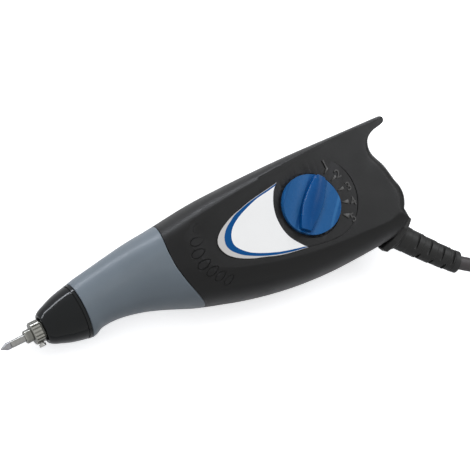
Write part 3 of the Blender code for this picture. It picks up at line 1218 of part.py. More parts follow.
def strain_relief():
    inner = -(RELIEF_WALL + 2 * GAP + RELIEF_INNER_THICKNESS)
    neck = -(RELIEF_WALL + 2 * GAP)
    root = RELIEF_FLANGE_THICKNESS
    rows = [(inner, RELIEF_INNER_RADIUS), (neck, RELIEF_INNER_RADIUS), (neck + RELIEF_STEP, RELIEF_NECK_RADIUS),
            (-RELIEF_STEP, RELIEF_NECK_RADIUS), (0.0, RELIEF_FLANGE_RADIUS), (root, RELIEF_FLANGE_RADIUS)]
    points = [(x, 0.0, 0.0) for x, radius in rows]
    shares = [radius / RELIEF_FLANGE_RADIUS for x, radius in rows]
    bend = radians(GUARD_BEND_DEGREES)
    for i in range(GUARD_STEPS + 1):
        distance = GUARD_LENGTH * i / GUARD_STEPS
        x, y = arc_point(distance, GUARD_LENGTH, bend)
        points.append((root + RELIEF_STEP + x, y, 0.0))
        radius = GUARD_ROOT_RADIUS + (GUARD_END_RADIUS - GUARD_ROOT_RADIUS) * i / GUARD_STEPS
        shares.append(radius / RELIEF_FLANGE_RADIUS)
    relief = tube("strain_relief", RUBBER, relief_frame, points, RELIEF_FLANGE_RADIUS, 5, shares)
    for i in range(GUARD_SLOTS):
        distance = GUARD_SLOT_START + i * GUARD_SLOT_SPACING
        x, y = arc_point(distance, GUARD_LENGTH, bend)
        radius = GUARD_ROOT_RADIUS + (GUARD_END_RADIUS - GUARD_ROOT_RADIUS) * distance / GUARD_LENGTH
        low, high = (radius - GUARD_SLOT_DEPTH, radius + OVERRUN) if i % 2 == 0 else (
            -radius - OVERRUN, GUARD_SLOT_DEPTH - radius)
        slot = box(f"guard_slot_{i}", None, relief_frame, (-GUARD_SLOT_WIDTH / 2, -radius, low),
                   (GUARD_SLOT_WIDTH / 2, radius, high))
        slot.location = (root + RELIEF_STEP + x, y, 0)
        slot.rotation_euler = (0, 0, bend * distance / GUARD_LENGTH)
        cut(relief, slot)

    start = inner - GAP
    turned("inner_cord", RUBBER, relief_frame, [(start - INNER_CORD_LENGTH, CORD_RADIUS), (start, CORD_RADIUS)],
           steps=TINY_STEPS)
    bar_low = CORD_RADIUS + GAP
    bar_x = clamp_x()
    half = CLAMP_BAR_LENGTH / 2
    bar = box("cord_clamp", NYLON, relief_frame, (bar_x - CLAMP_BAR_WIDTH / 2, -half, bar_low),
              (bar_x + CLAMP_BAR_WIDTH / 2, half, bar_low + CLAMP_BAR_THICKNESS))
    for i, side in enumerate((-1, 1)):
        at = (bar_x, side * CLAMP_SCREW_SPACING / 2, 0)
        hole = [(bar_low - OVERRUN, CLAMP_SCREW_RADIUS + GAP),
                (bar_low + CLAMP_BAR_THICKNESS + OVERRUN, CLAMP_SCREW_RADIUS + GAP)]
        cut(bar, turned(f"clamp_hole_{i}", None, relief_frame, hole, at=at, axis="Z", steps=TINY_STEPS))
        seat = bar_low + CLAMP_BAR_THICKNESS + GAP
        screw = [(-(CLAMP_POST_DROP + CLAMP_SCREW_DEPTH), CLAMP_SCREW_RADIUS), (seat, CLAMP_SCREW_RADIUS),
                 (seat, CLAMP_SCREW_HEAD_RADIUS), (seat + CLAMP_SCREW_HEAD_HEIGHT, CLAMP_SCREW_HEAD_RADIUS)]
        turned(f"clamp_screw_{i + 1}", STEEL, relief_frame, screw, at=at, axis="Z", steps=TINY_STEPS)


def smooth_path(points, steps):
    """Points read from a smooth curve through the given ones, steps to a stretch."""
    ends = [2 * points[0] - points[1], *points, 2 * points[-1] - points[-2]]
    path = []
    for i in range(1, len(ends) - 2):
        a, b, c, d = ends[i - 1:i + 3]
        for k in range(steps):
            t = k / steps
            path.append(0.5 * (2 * b + (c - a) * t + (2 * a - 5 * b + 4 * c - d) * t ** 2
                               + (3 * b - a - 3 * c + d) * t ** 3))
    path.append(points[-1])
    return path


def in_pen_frame(frame_x, frame_y, angle_degrees, point):
    """A point of a turned frame, in the pen's frame."""
    angle = radians(angle_degrees)
    x, y, z = point
    return Vector((frame_x + x * cos(angle) - y * sin(angle), frame_y + x * sin(angle) + y * cos(angle), z))


def lead_wires():
    """Two cord cores and the lead between switch and coil, in the space under the slide and behind the magnet."""
    cord_end = -(RELIEF_WALL + 3 * GAP + RELIEF_INNER_THICKNESS + INNER_CORD_LENGTH + GAP)
    lift = Vector((0, 0, WIRE_SPACING / 2))
    cord_face = in_pen_frame(RELIEF_X, RELIEF_Y, RELIEF_DEGREES, (cord_end, 0, 0))
    cord_out = in_pen_frame(RELIEF_X, RELIEF_Y, RELIEF_DEGREES, (cord_end - WIRE_LEAD, 0, 0))
    deep = GAP - SWITCH_PROUD - SWITCH_BEZEL_THICKNESS - SWITCH_BODY_DEPTH - TERMINAL_LENGTH - GAP
    low_pin, high_pin = [in_pen_frame(SWITCH_X, SWITCH_Y, SWITCH_TILT_DEGREES, (deep, side * TERMINAL_SPACING / 2, 0))
                         for side in (-1, 1)]
    out = Vector((-WIRE_LEAD, 0, 0))
    turn = Vector((min(low_pin.x, cord_out.x) - 2 * WIRE_LEAD, (low_pin.y + cord_out.y) / 2, WIRE_SPACING / 2))
    live_path = [cord_face + lift, cord_out + lift, turn, low_pin + out, low_pin]
    tube("wire_cord_to_switch", BROWN_WIRE, pen, smooth_path(live_path, 3), WIRE_RADIUS, 1)

    boss_x, boss_y = HOUSING_SCREW_PLACES[3]
    under = -(CORE_HALF_STACK + WIRE_SPACING)
    below = boss_y + BOSS_RADIUS + WIRE_SPACING
    coil_x = CORE_REAR_X + GAP
    middle_x = (turn.x + boss_x) / 2
    coil_low = Vector((coil_x, -CORE_HALF_WIDTH / 2, under))
    switch_path = [high_pin, high_pin + out, Vector((turn.x - WIRE_LEAD, high_pin.y, under / 3)),
                   Vector((middle_x, below + WIRE_SPACING, under)), Vector((boss_x, below + WIRE_SPACING, under)),
                   coil_low + Vector((WIRE_SPACING, -WIRE_SPACING, 0)), coil_low]
    tube("wire_switch_to_coil", BROWN_WIRE, pen, smooth_path(switch_path, 3), WIRE_RADIUS, 1)

    deeper = under - WIRE_SPACING
    coil_high = Vector((coil_x, CORE_HALF_WIDTH / 3, under - WIRE_RADIUS))
    return_path = [cord_face - lift, cord_out - lift, Vector((turn.x, turn.y, under / 2)),
                   Vector((middle_x, below, deeper)), Vector((boss_x, below, deeper)),
                   Vector((coil_x + 2 * WIRE_SPACING, -CORE_HALF_WIDTH / 2, deeper)),
                   coil_high + Vector((WIRE_SPACING, -WIRE_SPACING, -WIRE_RADIUS)), coil_high]
    tube("wire_cord_to_coil", BLUE_WIRE, pen, smooth_path(return_path, 3), WIRE_RADIUS, 1)


# Cord outside
def guard_end():
    bend = radians(GUARD_BEND_DEGREES)
    x, y = arc_point(GUARD_LENGTH, GUARD_LENGTH, bend)
    return in_pen_frame(RELIEF_X, RELIEF_Y, RELIEF_DEGREES,
                        (RELIEF_FLANGE_THICKNESS + RELIEF_STEP + x, y, 0))


def heading(degrees):
    return Vector((cos(radians(degrees)), sin(radians(degrees)), 0.0))


def coil_points(centre):
    """Turns beside and on each other. The cord climbs a layer wherever the spiral reverses."""
    points = []
    for i in range(COIL_LAYERS * COIL_TURNS_PER_LAYER * COIL_POINTS_PER_TURN + 1):
        turn = i / COIL_POINTS_PER_TURN
        from_inner = abs(turn % (2 * COIL_TURNS_PER_LAYER) - COIL_TURNS_PER_LAYER)
        radius = COIL_INNER_RADIUS + COIL_PITCH * from_inner
        climbs = [min(1.0, max(0.0, 2 * (turn - k * COIL_TURNS_PER_LAYER) + 0.5)) for k in range(1, COIL_LAYERS)]
        angle = radians(COIL_DEGREES - 90.0) + 2 * pi * turn
        points.append(Vector((centre.x + radius * cos(angle), centre.y + radius * sin(angle),
                              centre.z + COIL_LAYER_HEIGHT * sum(climbs))))
    return points


def least_gap(points, radius, apart):
    """Least clear distance of a tube to itself, between points at least so many steps apart."""
    least = min((points[i] - points[j]).length for i in range(len(points)) for j in range(i + apart, len(points)))
    return least - 2 * radius


def cord():
    start = guard_end() + GAP * heading(CORD_DEGREES)
    route = [start + Vector(step) for step in CORD_ROUTE]
    tube("cord_free", RUBBER, pen, smooth_path(route, 1), CORD_RADIUS, 3)

    ahead = heading(COIL_DEGREES)
    left = heading(COIL_DEGREES + 90.0)
    lead = 2 * CORD_RADIUS
    entry = route[-1] + GAP * ahead
    centre = entry + lead * ahead + (COIL_INNER_RADIUS + COIL_PITCH * COIL_TURNS_PER_LAYER) * left
    loops = coil_points(centre)
    points = [entry] + loops + [loops[-1] + lead * ahead]
    tube("cord_coil", RUBBER, pen, points, CORD_RADIUS, 1)
    gap = least_gap(loops, CORD_RADIUS, COIL_POINTS_PER_TURN // 2)
    print(f"cord coil: least gap to itself {gap * 1000:.2f} mm")

    tail_start = points[-1] + GAP * ahead
    up = Vector((0, 0, 1))
    tail = [tail_start + x * ahead + y * left + z * up for x, y, z in TAIL_ROUTE]
    tube("cord_tail", RUBBER, pen, smooth_path(tail, 1), CORD_RADIUS, 3)
    stretches = (route, loops, tail)
    length = sum((b - a).length for path in stretches for a, b in zip(path, path[1:]))
    print(f"cord: {length:.3f} m outside the guard")
    gap = least_gap(loops + tail, CORD_RADIUS, COIL_POINTS_PER_TURN // 2)
    print(f"cord coil and tail: least gap {gap * 1000:.2f} mm")
    plug(tail[-1] + GAP * heading(PLUG_DEGREES))


def plug(face):
    plug_frame = empty("plug_frame", face, PLUG_DEGREES, pen)
    half_width = PLUG_WIDTH / 2
    half_thickness = PLUG_THICKNESS / 2
    back = PLUG_BOOT_LENGTH
    body = box("plug_body", RUBBER, plug_frame, (back, -half_width, -half_thickness),
               (back + PLUG_LENGTH, half_width, half_thickness), PLUG_EDGE)
    boot = turned("plug_boot", None, plug_frame, [(0.0, PLUG_BOOT_RADIUS), (back + PLUG_EDGE * 2, PLUG_BOOT_RADIUS)])
    combine(body, boot, "UNION")
    front = back + PLUG_LENGTH + GAP
    for i, side in enumerate((-1, 1)):
        y = side * BLADE_SPACING / 2
        box(f"plug_blade_{i + 1}", BRASS, plug_frame, (front, y - BLADE_THICKNESS / 2, -BLADE_WIDTH / 2),
            (front + BLADE_LENGTH, y + BLADE_THICKNESS / 2, BLADE_WIDTH / 2))


housing()
nose_cone()
point_and_chuck()
rod_and_bushes()
magnet()
dial()
stop_slide()
label()
housing_screws()
switch()
strain_relief()
lead_wires()
cord()
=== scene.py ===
"""How the electric engraving pen looks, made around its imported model.

Sizes are in millimetres in the pen's own frame, as it is drawn: X runs back from the tip of the point, Y up from the
rod's axis to the spine, Z out of the parting line to the dial side. PEN carries them to the frame of the model.
"""
from math import atan2, cos, hypot, pi, radians, sin, sqrt

import bmesh
import bpy
from mathutils import Matrix, Vector


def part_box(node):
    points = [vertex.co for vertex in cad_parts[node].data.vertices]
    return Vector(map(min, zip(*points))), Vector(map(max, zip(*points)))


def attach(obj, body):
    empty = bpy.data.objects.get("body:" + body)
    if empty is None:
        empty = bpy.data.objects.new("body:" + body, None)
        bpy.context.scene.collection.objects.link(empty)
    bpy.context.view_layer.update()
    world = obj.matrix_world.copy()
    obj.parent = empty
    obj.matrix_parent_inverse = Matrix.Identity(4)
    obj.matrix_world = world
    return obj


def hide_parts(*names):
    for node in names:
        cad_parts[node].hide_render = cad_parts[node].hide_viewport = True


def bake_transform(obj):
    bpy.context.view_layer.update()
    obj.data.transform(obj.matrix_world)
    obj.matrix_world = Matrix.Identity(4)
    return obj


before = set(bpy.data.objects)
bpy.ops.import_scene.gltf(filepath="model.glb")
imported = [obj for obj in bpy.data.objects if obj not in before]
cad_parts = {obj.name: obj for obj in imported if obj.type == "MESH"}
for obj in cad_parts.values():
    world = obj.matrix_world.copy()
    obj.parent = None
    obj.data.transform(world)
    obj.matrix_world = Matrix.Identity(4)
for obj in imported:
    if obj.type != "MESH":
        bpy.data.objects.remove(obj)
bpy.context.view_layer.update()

PEN = Vector((-0.12916, 0.0036, 0.0200))
MM = 0.001


# Handwork that every piece needs
def pick(*pieces):
    bpy.ops.object.select_all(action="DESELECT")
    for piece in pieces:
        piece.select_set(True)
    bpy.context.view_layer.objects.active = pieces[0]


def begin():
    if bpy.context.object and bpy.context.object.mode != "OBJECT":
        bpy.ops.object.mode_set(mode="OBJECT")
    bpy.ops.object.select_all(action="DESELECT")


def called(name):
    piece = bpy.context.object
    piece.name = name
    piece.data.name = name
    return piece


def settle(piece, at, along=(0, 0, 1), spin=0.0):
    """Turns a piece made on the Z axis to its own axis, sets it at its place and lays both in its mesh."""
    turn = Vector((0, 0, 1)).rotation_difference(Vector(along)).to_matrix().to_4x4()
    piece.matrix_world = Matrix.Translation(PEN + Vector(at) * MM) @ turn @ Matrix.Rotation(spin, 4, "Z")
    pick(piece)
    bpy.ops.object.transform_apply(location=True, rotation=True, scale=True)
    return piece


def soften(piece, width, segments=2, angle=35.0):
    """Rounds the corners sharper than the angle."""
    pick(piece)
    rounding = piece.modifiers.new("corners", "BEVEL")
    rounding.limit_method = "ANGLE"
    rounding.angle_limit = radians(angle)
    rounding.width = width * MM
    rounding.segments = segments
    rounding.use_clamp_overlap = True
    bpy.ops.object.modifier_apply(modifier=rounding.name)
    return piece


def smooth(piece, angle=35.0):
    pick(piece)
    bpy.ops.object.shade_smooth_by_angle(angle=radians(angle))
    return piece


def level_faces(piece):
    """Lets the large faces rule the shading, so that flats stay flat beside their roundings."""
    pick(piece)
    rule = piece.modifiers.new("flats", "WEIGHTED_NORMAL")
    rule.keep_sharp = True
    rule.weight = 60
    bpy.ops.object.modifier_apply(modifier=rule.name)
    return piece


def join_by(piece, tool, operation):
    pick(piece)
    step = piece.modifiers.new("join", "BOOLEAN")
    step.operation = operation
    step.object = tool
    step.solver = "EXACT"
    bpy.ops.object.modifier_apply(modifier=step.name)
    bpy.data.objects.remove(tool)
    return piece


def cut(piece, *tools):
    for tool in tools:
        join_by(piece, tool, "DIFFERENCE")
    return piece


def copied(piece, name):
    twin = piece.copy()
    twin.data = piece.data.copy()
    twin.name = name
    twin.data.name = name
    bpy.context.scene.collection.objects.link(twin)
    return twin


def outward(piece):
    pick(piece)
    bpy.ops.object.mode_set(mode="EDIT")
    bpy.ops.mesh.select_all(action="SELECT")
    bpy.ops.mesh.normals_make_consistent(inside=False)
    bpy.ops.object.mode_set(mode="OBJECT")
    return piece


def turned(name, profile, at=(0, 0, 0), along=(1, 0, 0), steps=40, corner=0.0, hollow=False, spin=0.0):
    """A turned piece: a disc drawn out along the axis, let out or drawn in at each (place, radius)."""
    begin()
    fill = "NOTHING" if hollow else "NGON"
    bpy.ops.mesh.primitive_circle_add(vertices=steps, radius=profile[0][1] * MM, fill_type=fill,
                                      location=(0, 0, profile[0][0] * MM))
    piece = called(name)
    bpy.ops.object.transform_apply(location=True, rotation=True, scale=True)
    bpy.ops.object.mode_set(mode="EDIT")
    bpy.ops.mesh.select_all(action="SELECT")
    for (z, radius), (next_z, next_radius) in zip(profile, profile[1:]):
        bpy.ops.mesh.extrude_region_move(TRANSFORM_OT_translate={"value": (0, 0, (next_z - z) * MM)})
        share = next_radius / radius
        bpy.ops.transform.resize(value=(share, share, 1), center_override=(0, 0, next_z * MM))
    if hollow:
        bpy.ops.mesh.select_all(action="DESELECT")
        bpy.ops.mesh.select_non_manifold()
        bpy.ops.mesh.bridge_edge_loops()
    bpy.ops.mesh.select_all(action="SELECT")
    bpy.ops.mesh.normals_make_consistent(inside=False)
    bpy.ops.object.mode_set(mode="OBJECT")
    if corner:
        soften(piece, corner)
    return smooth(settle(piece, at, along, spin))


def skin_over(name, rows, capped=True):
    """A sheet laid round rows of points as over a mould, its two long edges joined."""
    begin()
    laid = [list(row) + [row[0]] for row in rows]
    across = len(laid[0])
    bpy.ops.mesh.primitive_grid_add(x_subdivisions=across - 1, y_subdivisions=len(laid) - 1, size=1.0)
    piece = called(name)
    places = []
    for row in laid:
        for point in row:
            places += [PEN.x + point[0] * MM, PEN.y + point[1] * MM, PEN.z + point[2] * MM]
    piece.data.vertices.foreach_set("co", places)
    piece.data.update()
    bpy.ops.object.mode_set(mode="EDIT")
    bpy.ops.mesh.select_all(action="SELECT")
    bpy.ops.mesh.remove_doubles(threshold=0.000002)
    if capped:
        bpy.ops.mesh.select_all(action="SELECT")
        bpy.ops.mesh.fill_holes(sides=0)
        bpy.ops.mesh.select_all(action="SELECT")
        bpy.ops.mesh.normals_make_consistent(inside=False)
    bpy.ops.object.mode_set(mode="OBJECT")
    return piece


def tube(name, points, radius, resolution, ring=False):
    """A round curve through points in the frame, open with closed ends or a ring."""
    curve = bpy.data.curves.new(name, "CURVE")
    curve.dimensions = "3D"
    curve.bevel_depth = radius * MM
    curve.bevel_resolution = resolution
    curve.use_fill_caps = not ring
    spline = curve.splines.new("POLY")
    spline.points.add(len(points) - 1)
    spline.use_cyclic_u = ring
    for spline_point, place in zip(spline.points, points):
        spline_point.co = (*place, 1.0)
    piece = bpy.data.objects.new(name, curve)
    bpy.context.scene.collection.objects.link(piece)
    return piece


def as_mesh(piece):
    pick(piece)
    bpy.ops.object.convert(target="MESH")
    return bpy.context.object


def plate(name, outline, low, high, flare=0.0, flare_depth=0.0):
    """A flat piece cut to an outline and drawn up from low to high, its top let out by flare where it has one."""
    bottom = [(x, y, low) for x, y in outline]
    rows = [bottom]
    if flare:
        wide = offset(outline, -flare)
        rows.append([(x, y, high - flare_depth) for x, y in outline])
        rows.append([(x, y, high) for x, y in wide])
        rows.append([(x, y, high + 4) for x, y in wide])
    else:
        rows.append([(x, y, high) for x, y in outline])
    return skin_over(name, rows)


def room(name, low, high):
    """A sharp-edged block between two corners, to take away or to keep what lies in it."""
    (low_x, low_y, low_z), (high_x, high_y, high_z) = low, high
    ring = ((low_x, low_y), (high_x, low_y), (high_x, high_y), (low_x, high_y))
    return skin_over(name, [[(x, y, z) for x, y in ring] for z in (low_z, high_z)])


def block(name, low, high, corner, segments=2):
    """A block between two corners with its edges rounded, at the frame's origin and not yet in its place."""
    begin()
    middle = [(a + b) / 2 * MM for a, b in zip(low, high)]
    size = [(b - a) * MM for a, b in zip(low, high)]
    bpy.ops.mesh.primitive_cube_add(size=1.0, location=middle, scale=size)
    piece = called(name)
    bpy.ops.object.transform_apply(location=True, rotation=True, scale=True)
    if corner:
        soften(piece, corner, segments)
    return piece


def smooth_line(points, steps, closed=False):
    """Points read off a smooth line through the given ones."""
    points = [Vector(point) for point in points]
    if closed:
        ends = [points[-1], *points, points[0], points[1]]
    else:
        ends = [2 * points[0] - points[1], *points, 2 * points[-1] - points[-2]]
    line = []
    for a, b, c, d in zip(ends, ends[1:], ends[2:], ends[3:]):
        for k in range(steps):
            t = k / steps
            line.append(0.5 * (2 * b + (c - a) * t + (2 * a - 5 * b + 4 * c - d) * t ** 2
                               + (3 * b - a - 3 * c + d) * t ** 3))
    if not closed:
        line.append(points[-1])
    return line


def offset(outline, amount):
    """A closed outline with every side moved in by the amount, or out where it is negative."""
    area = sum(a[0] * b[1] - b[0] * a[1] for a, b in zip(outline, outline[1:] + outline[:1]))
    inward = amount if area > 0 else -amount
    moved = []
    for before, here, after in zip(outline[-1:] + outline[:-1], outline, outline[1:] + outline[:1]):
        first = (Vector(here[:2]) - Vector(before[:2])).normalized()
        second = (Vector(after[:2]) - Vector(here[:2])).normalized()
        side = Vector((-first.y - second.y, first.x + second.x))
        spread = max(0.5, 1 + first.dot(second))
        moved.append((here[0] + inward * side.x / spread, here[1] + inward * side.y / spread))
    return moved


# Camera
VIEW_TILT = radians(21.0)
VIEW_LEAN = radians(-1.6)
VIEW_ROLL = radians(26.3)
AIM = PEN + Vector((108.604, -0.366, 0.0)) * MM
DISTANCE = 0.49578
back = Vector((-sin(VIEW_TILT) * cos(VIEW_LEAN), sin(VIEW_LEAN), cos(VIEW_TILT) * cos(VIEW_LEAN)))
level_x = (Vector((1, 0, 0)) - back.x * back).normalized()
level_y = back.cross(level_x)
view_right = cos(VIEW_ROLL) * level_x - sin(VIEW_ROLL) * level_y
view_up = sin(VIEW_ROLL) * level_x + cos(VIEW_ROLL) * level_y
camera_data = bpy.data.cameras.new("photo_camera")
camera_data.lens = 90.0
camera_data.sensor_width = 36.0
camera = bpy.data.objects.new("photo_camera", camera_data)
camera.matrix_world = Matrix.Translation(AIM + back * DISTANCE) @ Matrix(
    (view_right, view_up, back)).transposed().to_4x4()
bpy.context.scene.collection.objects.link(camera)
bpy.context.scene.camera = camera


# Materials
NOISE_LOW = 0.3
NOISE_HIGH = 0.7


def add(tree, kind, values=(), feeds=()):
    """A new shader node, with inputs set by values and fed from other nodes by feeds."""
    made = tree.nodes.new("ShaderNode" + kind)
    for name, value in dict(values).items():
        made.inputs[name].default_value = value
    for name, source in dict(feeds).items():
        tree.links.new(source, made.inputs[name])
    return made


def finish(name, colour, roughness, metallic=0.0, mottle=0.06, mottle_size=60.0, grain=900.0, grain_height=0.00004,
           grain_strength=0.12, rough_spread=0.05, wear=0.0, wear_colour=None, draw=(1, 1, 1), coat=0.0, sheen=0.0,
           specular=0.5):
    """A moulded, cut or rolled surface: its colour wanders a little, its gloss too, and its grain stands in relief."""
    made = bpy.data.materials.new(name)
    made.use_nodes = True
    tree = made.node_tree
    shader = tree.nodes["Principled BSDF"]
    for socket, value in (("Metallic", metallic), ("Coat Weight", coat), ("Coat Roughness", 0.08),
                          ("Sheen Weight", sheen), ("Specular IOR Level", specular)):
        shader.inputs[socket].default_value = value
    where = add(tree, "TexCoord")
    drawn = add(tree, "Mapping", {"Scale": draw}, {"Vector": where.outputs["Object"]}).outputs["Vector"]
    clouds, gloss, pits = [
        add(tree, "TexNoise", {"Scale": size, "Detail": detail}, {"Vector": drawn}).outputs["Fac"]
        for size, detail in ((mottle_size, 4.0), (mottle_size * 2.7, 3.0), (grain, 2.0))
    ]
    shades = add(tree, "ValToRGB", {}, {"Fac": clouds})
    for tone, place, share in zip(shades.color_ramp.elements, (NOISE_LOW, NOISE_HIGH), (1 - mottle, 1 + mottle)):
        tone.position = place
        tone.color = (*[min(1.0, c * share) for c in colour], 1.0)
    surface = shades.outputs["Color"]
    if wear:
        edges = add(tree, "NewGeometry")
        rubbed = add(tree, "MapRange", {"From Min": 0.52, "From Max": 0.62, "To Max": wear},
                     {"Value": edges.outputs["Pointiness"]})
        worn = add(tree, "Mix")
        worn.data_type = "RGBA"
        worn.inputs["B"].default_value = (*(wear_colour or [min(1.0, c * 1.8 + 0.02) for c in colour]), 1.0)
        tree.links.new(rubbed.outputs["Result"], worn.inputs["Factor"])
        tree.links.new(surface, worn.inputs["A"])
        surface = worn.outputs["Result"]
    smooth_part = max(0.02, roughness - rough_spread)
    rough_part = min(1.0, roughness + rough_spread)
    spread = add(tree, "MapRange", {"From Min": NOISE_LOW, "From Max": NOISE_HIGH, "To Min": smooth_part,
                                    "To Max": rough_part}, {"Value": gloss})
    relief = add(tree, "Bump", {"Strength": grain_strength, "Distance": grain_height}, {"Height": pits})
    tree.links.new(surface, shader.inputs["Base Color"])
    tree.links.new(spread.outputs["Result"], shader.inputs["Roughness"])
    tree.links.new(relief.outputs["Normal"], shader.inputs["Normal"])
    return made


shell_black = finish("shell_black", (0.0085, 0.0085, 0.0085), 0.36, mottle_size=45, grain=1800, grain_height=0.00006,
                     grain_strength=0.25, wear=0.25, wear_colour=(0.04, 0.04, 0.045), specular=0.18)
grip_grey = finish("grip_grey", (0.125, 0.150, 0.172), 0.33, mottle=0.04, mottle_size=70, grain=2200,
                   grain_height=0.00005, grain_strength=0.2, wear=0.2, specular=0.28)
nose_black = finish("nose_black", (0.003, 0.004, 0.0045), 0.13, mottle_size=50, grain=700, grain_strength=0.05,
                    rough_spread=0.03, wear=0.12, wear_colour=(0.03, 0.03, 0.03), specular=0.22)
turned_steel = finish("turned_steel", (0.17, 0.17, 0.155), 0.22, 1.0, mottle=0.14, mottle_size=160, grain=420,
                      grain_strength=0.3, rough_spread=0.10, draw=(9, 1, 1), wear=0.5, wear_colour=(0.66, 0.65, 0.60))
bright_steel = finish("bright_steel", (0.27, 0.27, 0.26), 0.18, 1.0, mottle=0.08, mottle_size=140, grain=380,
                      grain_strength=0.2, rough_spread=0.06, draw=(9, 1, 1))
hard_carbide = finish("hard_carbide", (0.27, 0.27, 0.28), 0.28, 1.0, mottle=0.10, mottle_size=400, grain=1600,
                      grain_strength=0.3)
screw_steel = finish("screw_steel", (0.36, 0.36, 0.35), 0.36, 1.0, mottle=0.10, mottle_size=300, grain=900,
                     grain_strength=0.3, wear=0.4, wear_colour=(0.60, 0.60, 0.58))
dial_blue = finish("dial_blue", (0.0006, 0.054, 0.190), 0.28, mottle=0.06, mottle_size=80, grain=1500,
                   grain_height=0.00004, grain_strength=0.18, wear=0.5, wear_colour=(0.06, 0.22, 0.46), specular=0.13)
label_white = finish("label_white", (0.87, 0.865, 0.85), 0.38, mottle=0.012, mottle_size=90, grain=2500,
                     grain_strength=0.06, specular=0.2)
label_blue = finish("label_blue", (0.001, 0.068, 0.230), 0.36, mottle=0.05, mottle_size=90, grain=2500,
                    grain_strength=0.06, specular=0.1)
label_grey = finish("label_grey", (0.52, 0.505, 0.49), 0.40, mottle=0.03, mottle_size=90, grain=2500,
                    grain_strength=0.06)
mark_black = finish("mark_black", (0.012, 0.011, 0.010), 0.40, mottle_size=200, grain=1500, grain_strength=0.15)
guard_rubber = finish("guard_rubber", (0.016, 0.016, 0.0155), 0.50, mottle_size=80, grain=1400, grain_height=0.00008,
                      grain_strength=0.3, wear=0.35, wear_colour=(0.06, 0.06, 0.06), specular=0.25)
cord_rubber = finish("cord_rubber", (0.034, 0.029, 0.030), 0.50, mottle=0.10, mottle_size=40, grain=700,
                     grain_height=0.00012, grain_strength=0.35)
switch_black = finish("switch_black", (0.012, 0.012, 0.013), 0.30, mottle_size=90, grain=1600, grain_strength=0.12,
                      wear=0.3)
mark_white = finish("mark_white", (0.70, 0.70, 0.68), 0.45, mottle=0.04, mottle_size=200, grain=1500)
sheet_iron = finish("sheet_iron", (0.17, 0.17, 0.18), 0.48, 1.0, mottle=0.25, mottle_size=30, grain=300,
                    grain_strength=0.5, draw=(1, 1, 14))
bush_bronze = finish("bush_bronze", (0.44, 0.27, 0.11), 0.42, 1.0, mottle=0.12, mottle_size=200, grain=1200,
                     grain_strength=0.4)
frame_nylon = finish("frame_nylon", (0.60, 0.58, 0.52), 0.50, mottle=0.04, mottle_size=80, grain=1200, sheen=0.1)
winding_copper = finish("winding_copper", (0.55, 0.17, 0.05), 0.28, 1.0, mottle=0.10, mottle_size=150, grain=900,
                        grain_strength=0.3, coat=0.4)
blade_brass = finish("blade_brass", (0.58, 0.42, 0.17), 0.30, 1.0, mottle=0.08, mottle_size=120, grain=600,
                     grain_strength=0.2, draw=(4, 4, 1), wear=0.3, wear_colour=(0.75, 0.62, 0.35))
lead_brown = finish("lead_brown", (0.11, 0.05, 0.02), 0.45, mottle=0.08, mottle_size=60, grain=900)
lead_blue = finish("lead_blue", (0.02, 0.08, 0.34), 0.45, mottle=0.08, mottle_size=60, grain=900)


def dress(piece, material):
    piece.data.materials.clear()
    piece.data.materials.append(material)
    return piece


def hand_over(piece, angle, material, slot, body, *nodes):
    """Smooths and dresses a finished piece, sets it on its body and lets it stand for the model's nodes."""
    dress(smooth(piece, angle), material)
    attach(piece, body)
    if nodes:
        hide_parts(*nodes)
    return piece


# Mains cord: its line is the cord of the model, from the guard into the coil and up to the plug that lies on it
def heading(degrees):
    return Vector((cos(radians(degrees)), sin(radians(degrees)), 0.0))


CORD_RADIUS = 3.2
CORD_DEGREES = -35.0
COIL_DEGREES = 0.0
PLUG_DEGREES = 120.0
COIL_INNER_RADIUS = 26.1
COIL_TURNS_PER_LAYER = 2
COIL_LAYERS = 4
COIL_PITCH = 7.0
COIL_STEPS = 36
guard_end = Vector((197.384, -55.198, 0.0))
free_route = [
    (0.0, 0.0, 0.0), (5.4, -3.8, -0.2), (10.8, -7.5, -0.9), (16.5, -10.6, -2.1), (22.8, -12.9, -3.9),
    (29.4, -13.9, -6.1), (36.0, -14.1, -8.6), (42.6, -14.1, -11.1), (49.2, -14.1, -13.4), (55.8, -14.1, -15.2),
    (62.6, -14.1, -16.3), (69.4, -14.1, -16.8), (77.7, -14.1, -16.8), (86.5, -14.1, -16.8),
]
tail_route = [
    (0.0, 0.0, 0.0), (4.7, 0.4, 0.2), (9.2, 1.6, 0.7), (13.5, 3.6, 1.5), (17.4, 6.3, 2.6), (20.7, 9.6, 3.9),
    (23.4, 13.5, 5.2), (25.4, 17.8, 6.5), (26.6, 22.3, 7.7), (27.0, 27.0, 8.7), (26.6, 31.7, 9.5), (25.4, 36.2, 10.0),
    (24.4, 38.6, 10.2), (22.9, 41.2, 10.3),
]


